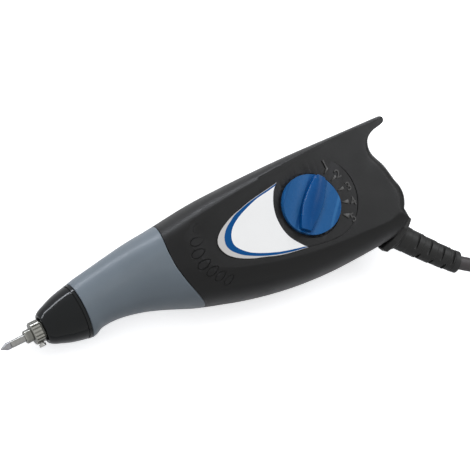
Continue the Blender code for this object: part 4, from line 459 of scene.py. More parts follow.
def cord_line():
    start = guard_end + 0.3 * heading(CORD_DEGREES)
    ahead = heading(COIL_DEGREES)
    left = heading(COIL_DEGREES + 90.0)
    free = smooth_line([start + Vector(step) for step in free_route], 3)
    entry = free[-1] + 0.3 * ahead
    centre = entry + 6.4 * ahead + (COIL_INNER_RADIUS + COIL_PITCH * COIL_TURNS_PER_LAYER) * left
    loops = []
    for i in range(COIL_LAYERS * COIL_TURNS_PER_LAYER * COIL_STEPS + 1):
        turn = i / COIL_STEPS
        from_inner = abs(turn % (2 * COIL_TURNS_PER_LAYER) - COIL_TURNS_PER_LAYER)
        radius = COIL_INNER_RADIUS + COIL_PITCH * from_inner
        climbs = [min(1.0, max(0.0, 2 * (turn - k * COIL_TURNS_PER_LAYER) + 0.5)) for k in range(1, COIL_LAYERS)]
        angle = radians(COIL_DEGREES - 90.0) + 2 * pi * turn
        loops.append(centre + Vector((radius * cos(angle), radius * sin(angle), COIL_PITCH * sum(climbs))))
    tail_start = loops[-1] + (6.4 + 0.3) * ahead
    tail = smooth_line([tail_start + x * ahead + y * left + z * Vector((0, 0, 1)) for x, y, z in tail_route], 3)
    return free + loops + tail, tail[-1] + 0.3 * heading(PLUG_DEGREES)


cord_points, plug_face = cord_line()
mains_cord = tube("mains_cord", [PEN + place * MM for place in cord_points], CORD_RADIUS, 4)
dress(mains_cord, cord_rubber)
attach(mains_cord, "housing")
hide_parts("cord_free", "cord_coil", "cord_tail")


# Plug on the end of the cord
def plug():
    """Boot and body in one moulding, drawn over rounded sections, with finger ridges on both flats."""
    ahead = heading(PLUG_DEGREES)
    side = heading(PLUG_DEGREES + 90.0)
    sections = [
        (0.0, 4.3, 4.3, 2.0), (1.0, 4.6, 4.6, 2.0), (6.0, 4.6, 4.6, 2.0), (10.0, 4.7, 4.7, 2.1), (12.0, 5.6, 5.0, 2.4),
        (14.5, 8.8, 5.7, 3.0), (18.0, 11.0, 6.2, 3.4), (22.0, 11.8, 6.4, 3.8), (28.0, 12.0, 6.5, 4.2),
        (34.6, 12.0, 6.5, 4.4), (35.6, 11.7, 6.2, 4.4), (36.0, 11.1, 5.6, 4.4),
    ]
    rows = []
    for x, half_width, half_height, power in sections:
        row = []
        for i in range(48):
            angle = 2 * pi * i / 48
            c, s = cos(angle), sin(angle)
            y = half_width * abs(c) ** (2 / power) * (1 if c > 0 else -1)
            z = half_height * abs(s) ** (2 / power) * (1 if s > 0 else -1)
            row.append(plug_face + x * ahead + y * side + Vector((0, 0, z)))
        rows.append(row)
    body = skin_over("plug_moulding", rows)
    for i in range(5):
        for face in (-1, 1):
            x = 20.5 + 2.8 * i
            ridge_cutter = block(f"ridge_{i}", (-0.7, -7.5, -0.5), (0.7, 7.5, 0.5), 0.3)
            settle(ridge_cutter, plug_face + x * ahead + Vector((0, 0, face * 6.5)), spin=radians(PLUG_DEGREES))
            cut(body, ridge_cutter)
    pieces = [hand_over(body, 40, cord_rubber, "black_rubber", "housing", "plug_body")]
    for i, hand in enumerate((-1, 1)):
        blade = block(f"blade_{i + 1}", (36.3, hand * 6.35 - 0.75, -3.1), (53.3, hand * 6.35 + 0.75, 3.1), 0.4, 3)
        eye = turned(f"eye_{i}", [(-3, 1.6), (3, 1.6)], along=(0, 1, 0), steps=32)
        eye.data.transform(Matrix.Translation(-PEN + Vector((49.6, hand * 6.35, 0)) * MM))
        cut(blade, eye)
        settle(blade, plug_face, spin=radians(PLUG_DEGREES))
        pieces.append(hand_over(blade, 40, blade_brass, "brass", "housing", f"plug_blade_{i + 1}"))
    return pieces


plug_pieces = plug()


# Housing form. Each row: place along X, spine, belly, half thickness, then where the rounding ends and its width, at
# the spine and at the belly
SECTIONS = [
    (34.60, 11.89, -11.91, 11.90, 0.20, 0.98, -0.20, 0.98),
    (36.49, 12.30, -11.51, 11.90, 0.50, 0.98, 0.10, 0.98),
    (39.01, 12.79, -10.30, 11.80, 0.70, 0.98, 0.30, 0.98),
    (42.95, 13.41, -9.80, 11.90, 1.21, 0.98, 0.80, 0.98),
    (48.00, 14.21, -10.00, 12.40, 1.80, 0.98, 1.40, 0.98),
    (53.98, 15.19, -11.09, 13.40, 2.20, 0.98, 1.80, 0.98),
    (59.97, 16.09, -12.70, 14.80, 2.90, 0.98, 1.80, 0.98),
    (65.96, 16.81, -14.90, 16.20, 3.70, 0.98, 0.89, 0.98),
    (71.95, 17.30, -17.40, 17.50, 4.50, 0.98, -0.80, 0.98),
    (77.94, 17.90, -20.00, 18.50, 5.69, 0.98, -3.00, 0.98),
    (83.93, 18.59, -22.11, 19.20, 7.10, 0.96, -5.11, 0.98),
    (91.02, 19.29, -24.31, 19.80, 8.49, 0.88, -7.51, 0.97),
    (97.96, 19.70, -26.39, 20.00, 9.59, 0.80, -10.18, 0.93),
    (105.99, 19.90, -28.39, 20.00, 10.75, 0.76, -13.00, 0.90),
    (115.92, 20.00, -30.40, 20.00, 11.99, 0.68, -15.99, 0.88),
    (128.06, 20.00, -32.11, 20.00, 13.30, 0.60, -18.72, 0.85),
    (140.03, 19.75, -32.90, 20.00, 14.60, 0.50, -20.50, 0.83),
    (152.01, 19.30, -32.90, 20.00, 15.70, 0.42, -21.48, 0.80),
    (163.99, 18.75, -32.51, 20.00, 16.30, 0.34, -22.69, 0.75),
    (175.97, 18.35, -31.49, 19.60, 16.20, 0.28, -23.49, 0.60),
    (187.94, 17.95, -30.00, 19.00, 15.90, 0.25, -23.01, 0.50),
    (200.08, 17.40, -28.49, 18.40, 15.40, 0.25, -21.85, 0.50),
]
CORNER_STEPS = 12
HALF_THICKNESS = 20.0
WALL = 1.7
CORE_INSET = 0.6
HALF_SEAM = 0.15
FRONT_X = 34.6
GRIP_GAP = 0.3


def section_at(x):
    """The housing's section at any place, on smooth lines through the table."""
    last = len(SECTIONS) - 1
    i = max(0, min(last - 1, sum(1 for row in SECTIONS[1:] if row[0] < x)))
    low, high = SECTIONS[i], SECTIONS[i + 1]
    width = high[0] - low[0]
    t = (x - low[0]) / width
    values = []
    for k in range(1, 8):
        here = (high[k] - low[k]) / width
        before = (low[k] - SECTIONS[i - 1][k]) / (low[0] - SECTIONS[i - 1][0]) if i > 0 else here
        after = (SECTIONS[i + 2][k] - high[k]) / (SECTIONS[i + 2][0] - high[0]) if i + 2 <= last else here
        m0 = (before + here) / 2 * width
        m1 = (here + after) / 2 * width
        values.append((2 * t ** 3 - 3 * t ** 2 + 1) * low[k] + (t ** 3 - 2 * t ** 2 + t) * m0
                      + (3 * t ** 2 - 2 * t ** 3) * high[k] + (t ** 3 - t ** 2) * m1)
    values[2] = min(values[2], HALF_THICKNESS)
    return values


def housing_ring(x, inset=0.0):
    """One ring of the housing, quarter ellipses at spine and belly, drawn in by inset."""
    top, bottom, half, upper, upper_width, lower, lower_width = section_at(x)
    top -= inset
    bottom += inset
    half -= inset
    side = []
    for i in range(CORNER_STEPS + 1):
        angle = pi / 2 * i / CORNER_STEPS
        z = half * (1 - upper_width + upper_width * sin(angle))
        side.append((x, upper + (top - upper) * cos(angle), z))
    for i in range(CORNER_STEPS + 1):
        angle = pi / 2 * (1 - i / CORNER_STEPS)
        z = half * (1 - lower_width + lower_width * sin(angle))
        side.append((x, lower + (bottom - lower) * cos(angle), z))
    return side + [(x, y, -z) for x, y, z in reversed(side)]


def boundary_x(y, shift):
    """Where the grip meets the housing, bowed to the front."""
    t = (y + 20.07) / (17.84 + 20.07)
    return 81.2 - 4.2 * t - 4 * 5.4 * t * (1 - t) + shift


# Rear end in side view: place and how much of the edge rounding it takes
REAR_OUTLINE = [
    (186.0, 18.3, 0.30), (187.4, 17.5, 0.30), (188.1, 16.3, 0.30), (187.8, 15.1, 0.30), (186.5, 14.3, 0.30),
    (184.2, 13.8, 0.35), (182.0, 13.4, 0.40), (180.0, 12.6, 0.48), (178.3, 11.4, 0.58), (177.1, 9.6, 0.68),
    (176.5, 7.2, 0.78), (176.6, 5.0, 0.88), (177.5, 2.6, 1.00), (178.7, 0.0, 1.00), (179.8, -2.9, 1.00),
    (180.5, -6.5, 1.00), (181.1, -9.9, 1.00), (182.0, -13.1, 1.00), (182.1, -15.9, 1.00), (181.6, -18.3, 1.00),
    (180.5, -20.7, 1.00), (178.9, -22.8, 0.90),
]
EDGE_ROUND = 7.0
EDGE_ROUND_DEPTH = 10.0
GUARD_AT = Vector((175.605, -29.501, 0.0))
GUARD_AHEAD = Vector((cos(radians(-62.0)), sin(radians(-62.0)), 0.0))
GUARD_SIDE = Vector((-GUARD_AHEAD.y, GUARD_AHEAD.x, 0.0))


def housing_region(name, front_shift, inset=0.0):
    """The block that bounds the housing in side view: grip boundary, rear end and the flat that carries the guard."""
    below = -46.0
    above = 34.0
    outline = []
    for i in range(41):
        y = -34.0 + 58.0 * i / 40
        outline.append((boundary_x(y, front_shift), y, 0.0))
    outline[0] = (outline[0][0], below, 0.0)
    outline[-1] = (outline[-1][0], above, 0.0)
    outline.append((185.8 - inset, above, REAR_OUTLINE[0][2]))
    rear = smooth_line([(x, y, 10 * rounding) for x, y, rounding in REAR_OUTLINE], 6)
    outline += [(p.x - inset, p.y, p.z / 10) for p in rear]
    seat = GUARD_AT - (0.3 + inset) * GUARD_AHEAD
    last = Vector((rear[-1].x - inset, rear[-1].y, 0.0))
    corner = Vector((last.x, last.y + (seat - last).dot(GUARD_AHEAD) / GUARD_AHEAD.y, 0.0))
    for step in (1.0, 0.5, 0.15):
        outline.append((corner.x, corner.y + step, 0.8))
    for step in (0.15, 0.5, 1.0):
        outline.append((corner.x - step * GUARD_SIDE.x, corner.y - step * GUARD_SIDE.y, 0.7))
    foot = corner - 30.0 * GUARD_SIDE
    outline.append((foot.x, foot.y, 0.0))
    outline.append((foot.x, below, 0.0))
    past = 0.3
    angles = [pi / 2 * i / CORNER_STEPS for i in range(CORNER_STEPS + 1)]
    flat = HALF_THICKNESS - EDGE_ROUND_DEPTH
    rising = [(1 - cos(a), flat + (EDGE_ROUND_DEPTH + past) * sin(a)) for a in angles]
    levels = [(share, -z) for share, z in reversed(rising)] + rising
    return skin_over(name, [
        [(x - EDGE_ROUND * rounding * share, y, z * (section_at(x)[2] + 0.35) / (HALF_THICKNESS + past))
         for x, y, rounding in outline]
        for share, z in levels
    ])


def housing_blank(name, inset=0.0):
    rows = [housing_ring(64.0 + 1.25 * i, inset) for i in range(109)]
    return skin_over(name, rows)


def from_model(node, name):
    """A merged copy of a piece of the model, for the bosses, posts and neck inside a shell."""
    twin = copied(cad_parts[node], name)
    twin.parent = None
    pick(twin)
    bpy.ops.object.mode_set(mode="EDIT")
    bpy.ops.mesh.select_all(action="SELECT")
    bpy.ops.mesh.remove_doubles(threshold=0.000001)
    bpy.ops.object.mode_set(mode="OBJECT")
    return twin


blank = housing_blank("blank")
join_by(blank, housing_region("region", 0.0), "INTERSECT")
hollow = housing_blank("hollow", WALL)
join_by(hollow, housing_region("hollow_region", WALL, WALL), "INTERSECT")
cut(blank, hollow)
shell_left = copied(blank, "shell_left")
shell_right = copied(blank, "shell_right")
bpy.data.objects.remove(blank)
join_by(shell_left, room("above", (40, -60, HALF_SEAM), (220, 50, 40)), "INTERSECT")
join_by(shell_right, room("below", (40, -60, -40), (220, 50, -HALF_SEAM)), "INTERSECT")

# Pad, label seat and dial seat in the left shell
LABEL_EDGE = [
    (128.0, 11.0), (122.8, 10.3), (117.4, 9.6), (112.1, 8.7), (108.1, 7.7), (104.3, 6.8), (100.2, 5.3), (96.2, 3.2),
    (93.6, 0.9), (92.5, -1.6), (92.8, -4.2), (94.2, -7.0), (96.6, -9.2), (99.6, -11.1), (103.8, -13.0), (108.6, -14.6),
    (114.8, -16.7), (121.5, -18.1), (127.6, -19.0),
]
PAD_REAR = [
    (133.2, -20.1), (139.0, -20.9), (144.6, -20.8), (149.6, -19.1), (153.5, -16.4), (156.4, -13.0), (158.6, -8.4),
    (159.5, -3.4), (159.0, 1.8), (157.1, 6.4), (154.0, 9.8), (150.0, 12.0), (145.3, 13.1), (139.5, 13.0), (133.6, 12.1),
]


def flat_line(points, steps, closed=False):
    return [(p.x, p.y) for p in smooth_line([(x, y, 0) for x, y in points], steps, closed)]


def spaced(outline, least):
    """A closed outline without the points that crowd at its tips."""
    kept = []
    for point in outline:
        if not kept or hypot(point[0] - kept[-1][0], point[1] - kept[-1][1]) > least:
            kept.append(point)
    if hypot(kept[0][0] - kept[-1][0], kept[0][1] - kept[-1][1]) < least:
        kept.pop()
    return kept


pad_outline = flat_line(LABEL_EDGE + PAD_REAR, 4, closed=True)
groove = plate("groove", pad_outline, 19.2, 20.4)
cut(groove, plate("groove_core", offset(pad_outline, 0.42), 19.0, 21.0))
cut(shell_left, plate("pad_cutter", pad_outline, 19.6, 20.0, 0.3, 0.2), groove)
DIAL_X, DIAL_Y = 136.8, -3.6
dial_centre = Vector((DIAL_X, DIAL_Y, 0.0))
cut(shell_left, turned("dial_cutter", [(10, 4.4), (18.8, 4.4), (18.8, 13.8), (19.45, 13.8), (19.8, 14.15), (24, 14.15)],
                       dial_centre, (0, 0, 1), 96))

# Leaf outlines cut behind the grip: place, turn in degrees, half length and half width
LEAF_GROOVE_RADIUS = 0.27
LEAF_MARKS = [
    (89.9, 7.9, 3.0, 3.9, 1.9), (85.6, 3.4, -3.0, 3.1, 1.65), (83.7, -1.1, 4.0, 3.1, 1.6), (84.0, -6.0, 9.0, 3.0, 1.55),
    (85.9, -9.9, 13.0, 2.8, 1.4), (88.2, -13.1, 17.0, 2.6, 1.3), (91.0, -16.0, 21.0, 2.4, 1.2),
]


def leaf_grooves(shell):
    """A round-bottomed groove along each leaf's outline, laid on the shell's own surface."""
    grooves = []
    for x, y, turn, half_length, half_width in LEAF_MARKS:
        swing = radians(turn)
        line = []
        for k in range(28):
            angle = 2 * pi * k / 28
            u = half_length * cos(angle)
            v = half_width * sin(angle) * (1.0 - 0.25 * cos(angle)) * abs(sin(angle)) ** 0.25
            above = (x + u * cos(swing) - v * sin(swing), y + u * sin(swing) + v * cos(swing), 40.0)
            line.append(shell.ray_cast(PEN + Vector(above) * MM, (0, 0, -1))[1])
        grooves.append(outward(as_mesh(tube("leaf_groove", line, LEAF_GROOVE_RADIUS, 2, ring=True))))
    cut(shell, *grooves)


leaf_grooves(shell_left)

# Rear openings
SWITCH_AT = Vector((180.669, -7.501, 0.0))
SWITCH_TURN = radians(11.0)


def at_switch(piece):
    """Carries a piece drawn on the switch's own axes to its place in the rear face."""
    return settle(piece, SWITCH_AT, spin=SWITCH_TURN)


for shell in (shell_left, shell_right):
    cut(shell, at_switch(block("bezel_cutter", (-2.2, -7.8, -5.55), (6.0, 7.8, 5.55), 0.0)))
    cut(shell, at_switch(block("case_cutter", (-8.0, -6.9, -4.6), (6.0, 6.9, 4.6), 0.0)))
    cut(shell, turned("guard_cutter", [(-6.5, 5.2), (3.0, 5.2)], GUARD_AT, GUARD_AHEAD, 48))

# Neck, bosses and posts of the model inside the finished shells
for shell, node in ((shell_left, "left_shell"), (shell_right, "right_shell")):
    inside = from_model(node, "inside")
    core = housing_blank("core", CORE_INSET)
    join_by(core, housing_region("core_region", CORE_INSET, CORE_INSET), "INTERSECT")
    neck = copied(inside, "neck")
    join_by(neck, room("neck_room", (30, -28, -28), (76, 28, 28)), "INTERSECT")
    join_by(inside, core, "INTERSECT")
    join_by(shell, inside, "UNION")
    join_by(shell, neck, "UNION")

# Screw wells in the right shell
SCREW_PLACES = [
    (87.2, 11.5), (87.2, -13.489), (127.0, 13.5915), (123.4, -23.4906), (159.9768, 11.5005), (159.6047, -24.5105),
]
for x, y in SCREW_PLACES:
    cut(shell_right, turned("well", [(-26, 4.1), (-19.7, 3.5), (-19.3, 3.15), (-12.6, 3.15)], (x, y, 0), (0, 0, 1), 32))

for shell, node in ((shell_left, "left_shell"), (shell_right, "right_shell")):
    smooth(shell, 32)
    level_faces(shell)
    dress(shell, shell_black)
    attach(shell, "housing")
    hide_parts(node)


# Grip sleeve: a bell over the front of the housing
def grip():
    rows = []
    steps = 44
    tries = 5
    front = housing_ring(FRONT_X)
    for i in range(steps + 1):
        row = []
        for k, place in enumerate(front):
            for _ in range(tries):
                x = FRONT_X + i / steps * (boundary_x(place[1], -GRIP_GAP) - FRONT_X)
                place = housing_ring(x)[k]
            row.append(place)
        rows.append(row)
    piece = skin_over("grip", rows, capped=False)
    outward(piece)
    pick(piece)
    wall = piece.modifiers.new("wall", "SOLIDIFY")
    wall.thickness = 2.2 * MM
    wall.offset = -1.0
    wall.use_even_offset = True
    bpy.ops.object.modifier_apply(modifier=wall.name)
    soften(piece, 0.35, 3, 50)
    hand_over(piece, 40, grip_grey, "grey_grip", "housing", "grip_sleeve")


grip()


# Nose cone, glossy, with a thin ledge and groove at its rear
def nose():
    outline = smooth_line([(18.0, 5.7, 0), (18.3, 6.35, 0), (20.0, 7.47, 0), (22.1, 8.32, 0), (26.0, 9.84, 0),
                           (30.0, 10.89, 0), (32.6, 11.4, 0)], 5)
    profile = [(p.x, p.y) for p in outline]
    profile += [(32.65, 11.0), (33.1, 11.0), (33.15, 11.6), (34.2, 11.75), (34.3, 11.2), (34.3, 5.6), (41.8, 5.6),
                (41.8, 6.2), (43.6, 6.2), (43.6, 3.4), (31.0, 3.4), (31.0, 5.0), (18.3, 5.0)]
    piece = turned("nose", profile, steps=96, hollow=True)
    hand_over(piece, 40, nose_black, "gloss_black", "housing", "nose_cone")


nose()


# Chuck, set screw and engraving point
def chuck():
    profile = [(10.3, 1.8), (10.3, 2.35), (10.7, 2.7), (13.1, 2.7), (13.4, 3.6), (13.4, 4.35), (13.7, 4.7), (17.1, 4.7),
               (17.4, 4.35), (17.4, 4.0), (28.0, 4.0), (28.0, 2.4), (22.0, 2.4), (22.0, 1.8)]
    sides = 40
    piece = turned("chuck_body", profile, steps=sides, hollow=True)
    pick(piece)
    bpy.ops.object.mode_set(mode="EDIT")
    shape = bmesh.from_edit_mesh(piece.data)
    shape.faces.ensure_lookup_table()
    for face in shape.faces:
        middle = (face.calc_center_median() - PEN) / MM
        around = atan2(middle.z, middle.y)
        slot = round(around / (2 * pi / sides) - 0.5)
        face.select = 13.8 < middle.x < 17.0 and hypot(middle.y, middle.z) > 4.4 and slot % 2 == 0
    bmesh.update_edit_mesh(piece.data)
    bpy.ops.mesh.inset(thickness=0.12 * MM, use_individual=True)
    bpy.ops.mesh.extrude_region_shrink_fatten(TRANSFORM_OT_shrink_fatten={"value": -0.35 * MM})
    bpy.ops.object.mode_set(mode="OBJECT")
    hole = turned("screw_hole", [(-6.0, 1.2), (0.0, 1.2)], (15.4, 0, 0), (0, 1, 0), 24)
    cut(piece, hole)
    hand_over(piece, 30, turned_steel, "steel", "plunger", "chuck")

    screw = turned("chuck_screw", [(-6.3, 1.15), (-6.1, 1.4), (-5.0, 1.4), (-5.0, 0.9), (-1.8, 0.9)], (15.4, 0, 0),
                   (0, 1, 0), 32)
    slot = block("slot_cutter", (13.0, -7.0, -0.22), (18.0, -5.9, 0.22), 0.0)
    slot.data.transform(Matrix.Translation(PEN))
    cut(screw, slot)
    hand_over(screw, 35, screw_steel, "steel", "set_screw", "chuck_set_screw")

    shank = turned("point_body", [(4.25, 1.3), (4.4, 1.42), (4.5, 1.5), (21.2, 1.5), (21.5, 1.2)])
    hand_over(shank, 30, bright_steel, "steel", "point", "point_shank")

    tip = turned("hard_tip", [(0.0, 0.1), (0.12, 0.24), (2.35, 1.42), (2.6, 1.5), (4.0, 1.5), (4.2, 1.3)])
    hand_over(tip, 30, hard_carbide, "carbide", "point", "carbide_tip")


chuck()


# Dial with its twisted grip bar between two scoops
DIAL_TURN = radians(41.5)


def on_dial(u, v, z):
    """A place given along and across the grip bar."""
    return (DIAL_X + u * cos(DIAL_TURN) - v * sin(DIAL_TURN), DIAL_Y + u * sin(DIAL_TURN) + v * cos(DIAL_TURN), z)


def dial():
    profile = [(11.0, 2.5), (17.2, 2.5), (17.2, 4.0), (19.1, 4.0), (19.1, 12.3), (19.4, 12.8), (22.5, 12.8),
               (23.0, 12.6), (23.3, 12.1)]
    piece = turned("dial_cap", profile, dial_centre, (0, 0, 1), 128)
    lean = radians(4.1)
    direction = Vector((cos(DIAL_TURN + lean), sin(DIAL_TURN + lean), 0.0))
    across = Vector((-direction.y, direction.x, 0.0))
    for hand in (-1, 1):
        centre = dial_centre + hand * 5.2 * across
        tool = turned("scoop", [(-30, 15.5), (30, 15.5)], centre + Vector((0, 0, 21.1 + 15.5)), direction, 160)
        cut(piece, tool)
    edge_a = [(-12.4, 1.0), (-10.4, 1.9), (-7.2, 2.9), (-2.5, 4.0), (0.1, 4.1), (3.2, 4.1), (6.8, 3.8), (9.6, 3.5),
              (11.6, 3.2)]
    upper = smooth_line([(u, v, 0) for u, v in edge_a], 4)
    reach = 12.15
    rows = []
    for i in range(len(upper)):
        a = upper[i]
        b = -upper[len(upper) - 1 - i]
        t = 2 * i / (len(upper) - 1) - 1
        mid_u = (a.x + b.x) / 2
        crest = 2.6 * t * abs(t) ** 0.5
        end_a, end_b = [min(p.x, sqrt(reach ** 2 - p.y ** 2)) if t > 0 else max(p.x, -sqrt(reach ** 2 - p.y ** 2))
                        for p in (a, b)]
        end_c = max(-11.9, min(11.9, mid_u))
        fall = 0.5 + 0.5 * abs(t)
        flanks = [[
            (end, v, 20.0), (end, v, 24.3 - 0.4 * fall), (end, v - inward, 24.7 - 0.5 * fall),
            (end * 0.5 + end_c * 0.5, (v + crest) / 2, 25.05 - 0.2 * fall),
        ] for end, v, inward in ((end_a, a.y, 0.25), (end_b, b.y, -0.25))]
        section = flanks[0] + [(end_c, crest, 25.25 - 0.15 * abs(t))] + flanks[1][::-1]
        rows.append([on_dial(*p) for p in section])
    bar = soften(skin_over("bar", rows), 0.35, 3, 40)
    join_by(piece, bar, "UNION")
    pilot = turned("pilot", [(9.0, 1.4), (16.0, 1.4)], dial_centre, (0, 0, 1), 24)
    cut(piece, pilot)
    hand_over(piece, 28, dial_blue, "blue_plastic", "dial", "dial_knob")


dial()


# Label: three printed layers, plain
def label():
    bite = [(127.6, -19.0), (124.6, -15.2), (122.3, -11.6), (121.1, -7.8), (120.8, -3.6), (121.4, 0.6), (122.9, 4.6),
            (125.2, 8.3), (128.0, 11.0)]
    whole = flat_line(LABEL_EDGE, 4) + flat_line(bite, 4)[1:-1]
    stripe_edge = [(128.0, 10.9), (122.8, 10.15), (117.4, 9.45), (112.1, 8.55), (108.1, 7.55), (104.5, 6.45),
                   (101.4, 4.75), (99.25, 3.45), (97.6, 1.95), (96.3, 0.25), (95.5, -1.8), (95.4, -3.9), (96.5, -6.3),
                   (98.4, -8.4), (100.4, -10.05), (102.7, -11.4), (105.0, -12.6), (107.3, -13.65), (110.0, -14.75),
                   (114.8, -16.35), (121.5, -17.95), (127.4, -18.85)]
    stripe = flat_line(stripe_edge, 4) + flat_line([(127.4, -18.85)] + bite[1:-1] + [(128.0, 10.9)], 4)[1:-1]
    leaf_edge = [(127.3, 10.2), (122.8, 9.5), (117.4, 8.8), (113.9, 7.95), (110.96, 7.05), (108.1, 6.05), (105.5, 4.95),
                 (103.3, 3.75), (101.4, 2.35), (100.0, 0.8), (98.95, -0.95), (98.4, -2.95), (98.6, -4.8), (99.45, -6.4),
                 (101.2, -8.4), (103.2, -10.1), (105.4, -11.4), (107.75, -12.55), (110.1, -13.6), (112.5, -14.5),
                 (114.8, -15.35), (117.4, -16.1), (121.4, -17.1), (127.2, -18.4)]
    leaf = flat_line(leaf_edge, 4) + flat_line([(127.2, -18.4)] + bite[1:-1] + [(127.3, 10.2)], 4)[1:-1]
    layers = (
        ("label_base", whole, 0.175, 19.65, 19.93, label_grey, ["label_plate"]),
        ("label_stripe", stripe, 0.21, 19.93, 19.96, label_blue, []),
        ("label_leaf", leaf, 0.24, 19.96, 19.99, label_white, []),
    )
    for name, outline, inset, low, high, colour, nodes in layers:
        piece = plate(name, offset(spaced(outline, 0.6), inset), low, high)
        hand_over(piece, 30, colour, "white_label", "housing", *nodes)


label()


# Numbers round the dial and the wedges that lead to them: place along X and Y
NUMBER_PLACES = [(151.3, 8.9), (154.7, 2.9), (156.6, -3.8), (155.3, -10.4), (151.9, -16.4)]
WEDGE_PLACES = [(150.6, 6.4), (152.2, 2.1), (152.9, -3.4), (152.1, -9.0), (149.6, -14.2)]
NUMBER_HEIGHT = 5.2
MARKS_Z = 19.75


def dial_marks():
    pieces = []
    for digit, (x, y) in enumerate(NUMBER_PLACES, 1):
        begin()
        bpy.ops.object.text_add(location=(0, 0, 0))
        text = bpy.context.object
        text.data.body = str(digit)
        text.data.size = NUMBER_HEIGHT * MM
        text.data.align_x = "CENTER"
        text.data.align_y = "CENTER"
        text.data.extrude = 0.16 * MM
        text.data.bevel_depth = 0.05 * MM
        bpy.ops.object.convert(target="MESH")
        piece = called(f"number_{digit}")
        settle(piece, (x, y, MARKS_Z))
        pieces.append(piece)
    for i, (x, y) in enumerate(WEDGE_PLACES):
        swing = atan2(y - DIAL_Y, x - DIAL_X)
        wide = 0.45 + 0.18 * i
        outline = [(-1.6, 0.2), (-1.6, -0.2), (1.3, -wide), (1.3, wide)]
        rows = [[(u, v, h) for u, v in outline] for h in (-0.2, 0.2)]
        piece = skin_over(f"wedge_{i + 1}", rows)
        piece.data.transform(Matrix.Translation(-PEN))
        settle(piece, (x, y, MARKS_Z), spin=swing)
        soften(piece, 0.08)
        pieces.append(piece)
    for piece in pieces:
        hand_over(piece, 30, mark_black, "black_plastic", "housing")


dial_marks()


# Guard where the cord leaves, with its flange, ribs and slots
GUARD_LENGTH = 31.0
GUARD_FOOT = GUARD_AT + 3.05 * GUARD_AHEAD


def guard_place(distance):
    """Place, direction and side on the guard's line, which bends near its two ends and is nearly straight between."""
    t = distance / GUARD_LENGTH
    first = 10.0 * GUARD_AHEAD
    last = 9.0 * heading(CORD_DEGREES)
    place = ((2 * t ** 3 - 3 * t ** 2 + 1) * GUARD_FOOT + (t ** 3 - 2 * t ** 2 + t) * first
             + (3 * t ** 2 - 2 * t ** 3) * guard_end + (t ** 3 - t ** 2) * last)
    facing = ((6 * t ** 2 - 6 * t) * GUARD_FOOT + (3 * t ** 2 - 4 * t + 1) * first + (6 * t - 6 * t ** 2) * guard_end
              + (3 * t ** 2 - 2 * t) * last).normalized()
    return place, facing, Vector((-facing.y, facing.x, 0.0))


def guard_radius(distance):
    """Tapering, each rib a little wider towards the slot behind it."""
    rib = (distance - 7.1) % 5.4 / 5.4 if distance > 7.1 else 0.5
    return 6.0 - 1.35 * distance / GUARD_LENGTH + 0.30 * (rib - 0.5)


def guard():
    flange = turned("guard_flange", [(0.0, 9.3), (0.3, 9.95), (2.7, 9.95), (3.3, 9.4)], GUARD_AT, GUARD_AHEAD, 8, 0.5,
                    spin=pi / 8)
    neck = turned("guard_neck", [(-5.6, 3.4), (-5.6, 5.1), (-3.6, 5.3), (-3.6, 4.9), (0.5, 4.9), (0.5, 3.4)], GUARD_AT,
                  GUARD_AHEAD, 48, hollow=True)
    sections = [(-0.6, 5.0), (0.0, 6.6), (0.6, 6.9), (1.6, 6.8), (2.2, 6.3)]
    sections += [(0.3 * i, guard_radius(0.3 * i)) for i in range(9, 88)]
    sections += [(26.3, 4.75), (26.6, 4.95), (30.5, 4.95), (31.0, 4.5), (31.0, 3.3)]
    rows = []
    for distance, radius in sections:
        place, facing, side = guard_place(distance)
        rows.append([place + radius * (cos(2 * pi * k / 48) * side + sin(2 * pi * k / 48) * Vector((0, 0, 1)))
                     for k in range(48)])
    piece = skin_over("guard", rows)
    for i in range(4):
        for quarter in range(4):
            distance = 10.0 + 5.0 * i + (2.5 if quarter % 2 else 0.0)
            if distance > 26.0:
                continue
            place, facing, side = guard_place(distance)
            radius = guard_radius(distance)
            tool = block("slot", (-0.62, -0.66 * radius, radius - 1.4), (0.62, 0.66 * radius, radius + 3.0), 0.25)
            tool.data.transform(Matrix.Rotation(quarter * pi / 2, 4, "X"))
            cut(piece, settle(tool, place, spin=atan2(facing.y, facing.x)))
    join_by(piece, flange, "UNION")
    join_by(piece, neck, "UNION")
    hand_over(piece, 35, guard_rubber, "black_rubber", "housing", "strain_relief")


guard()


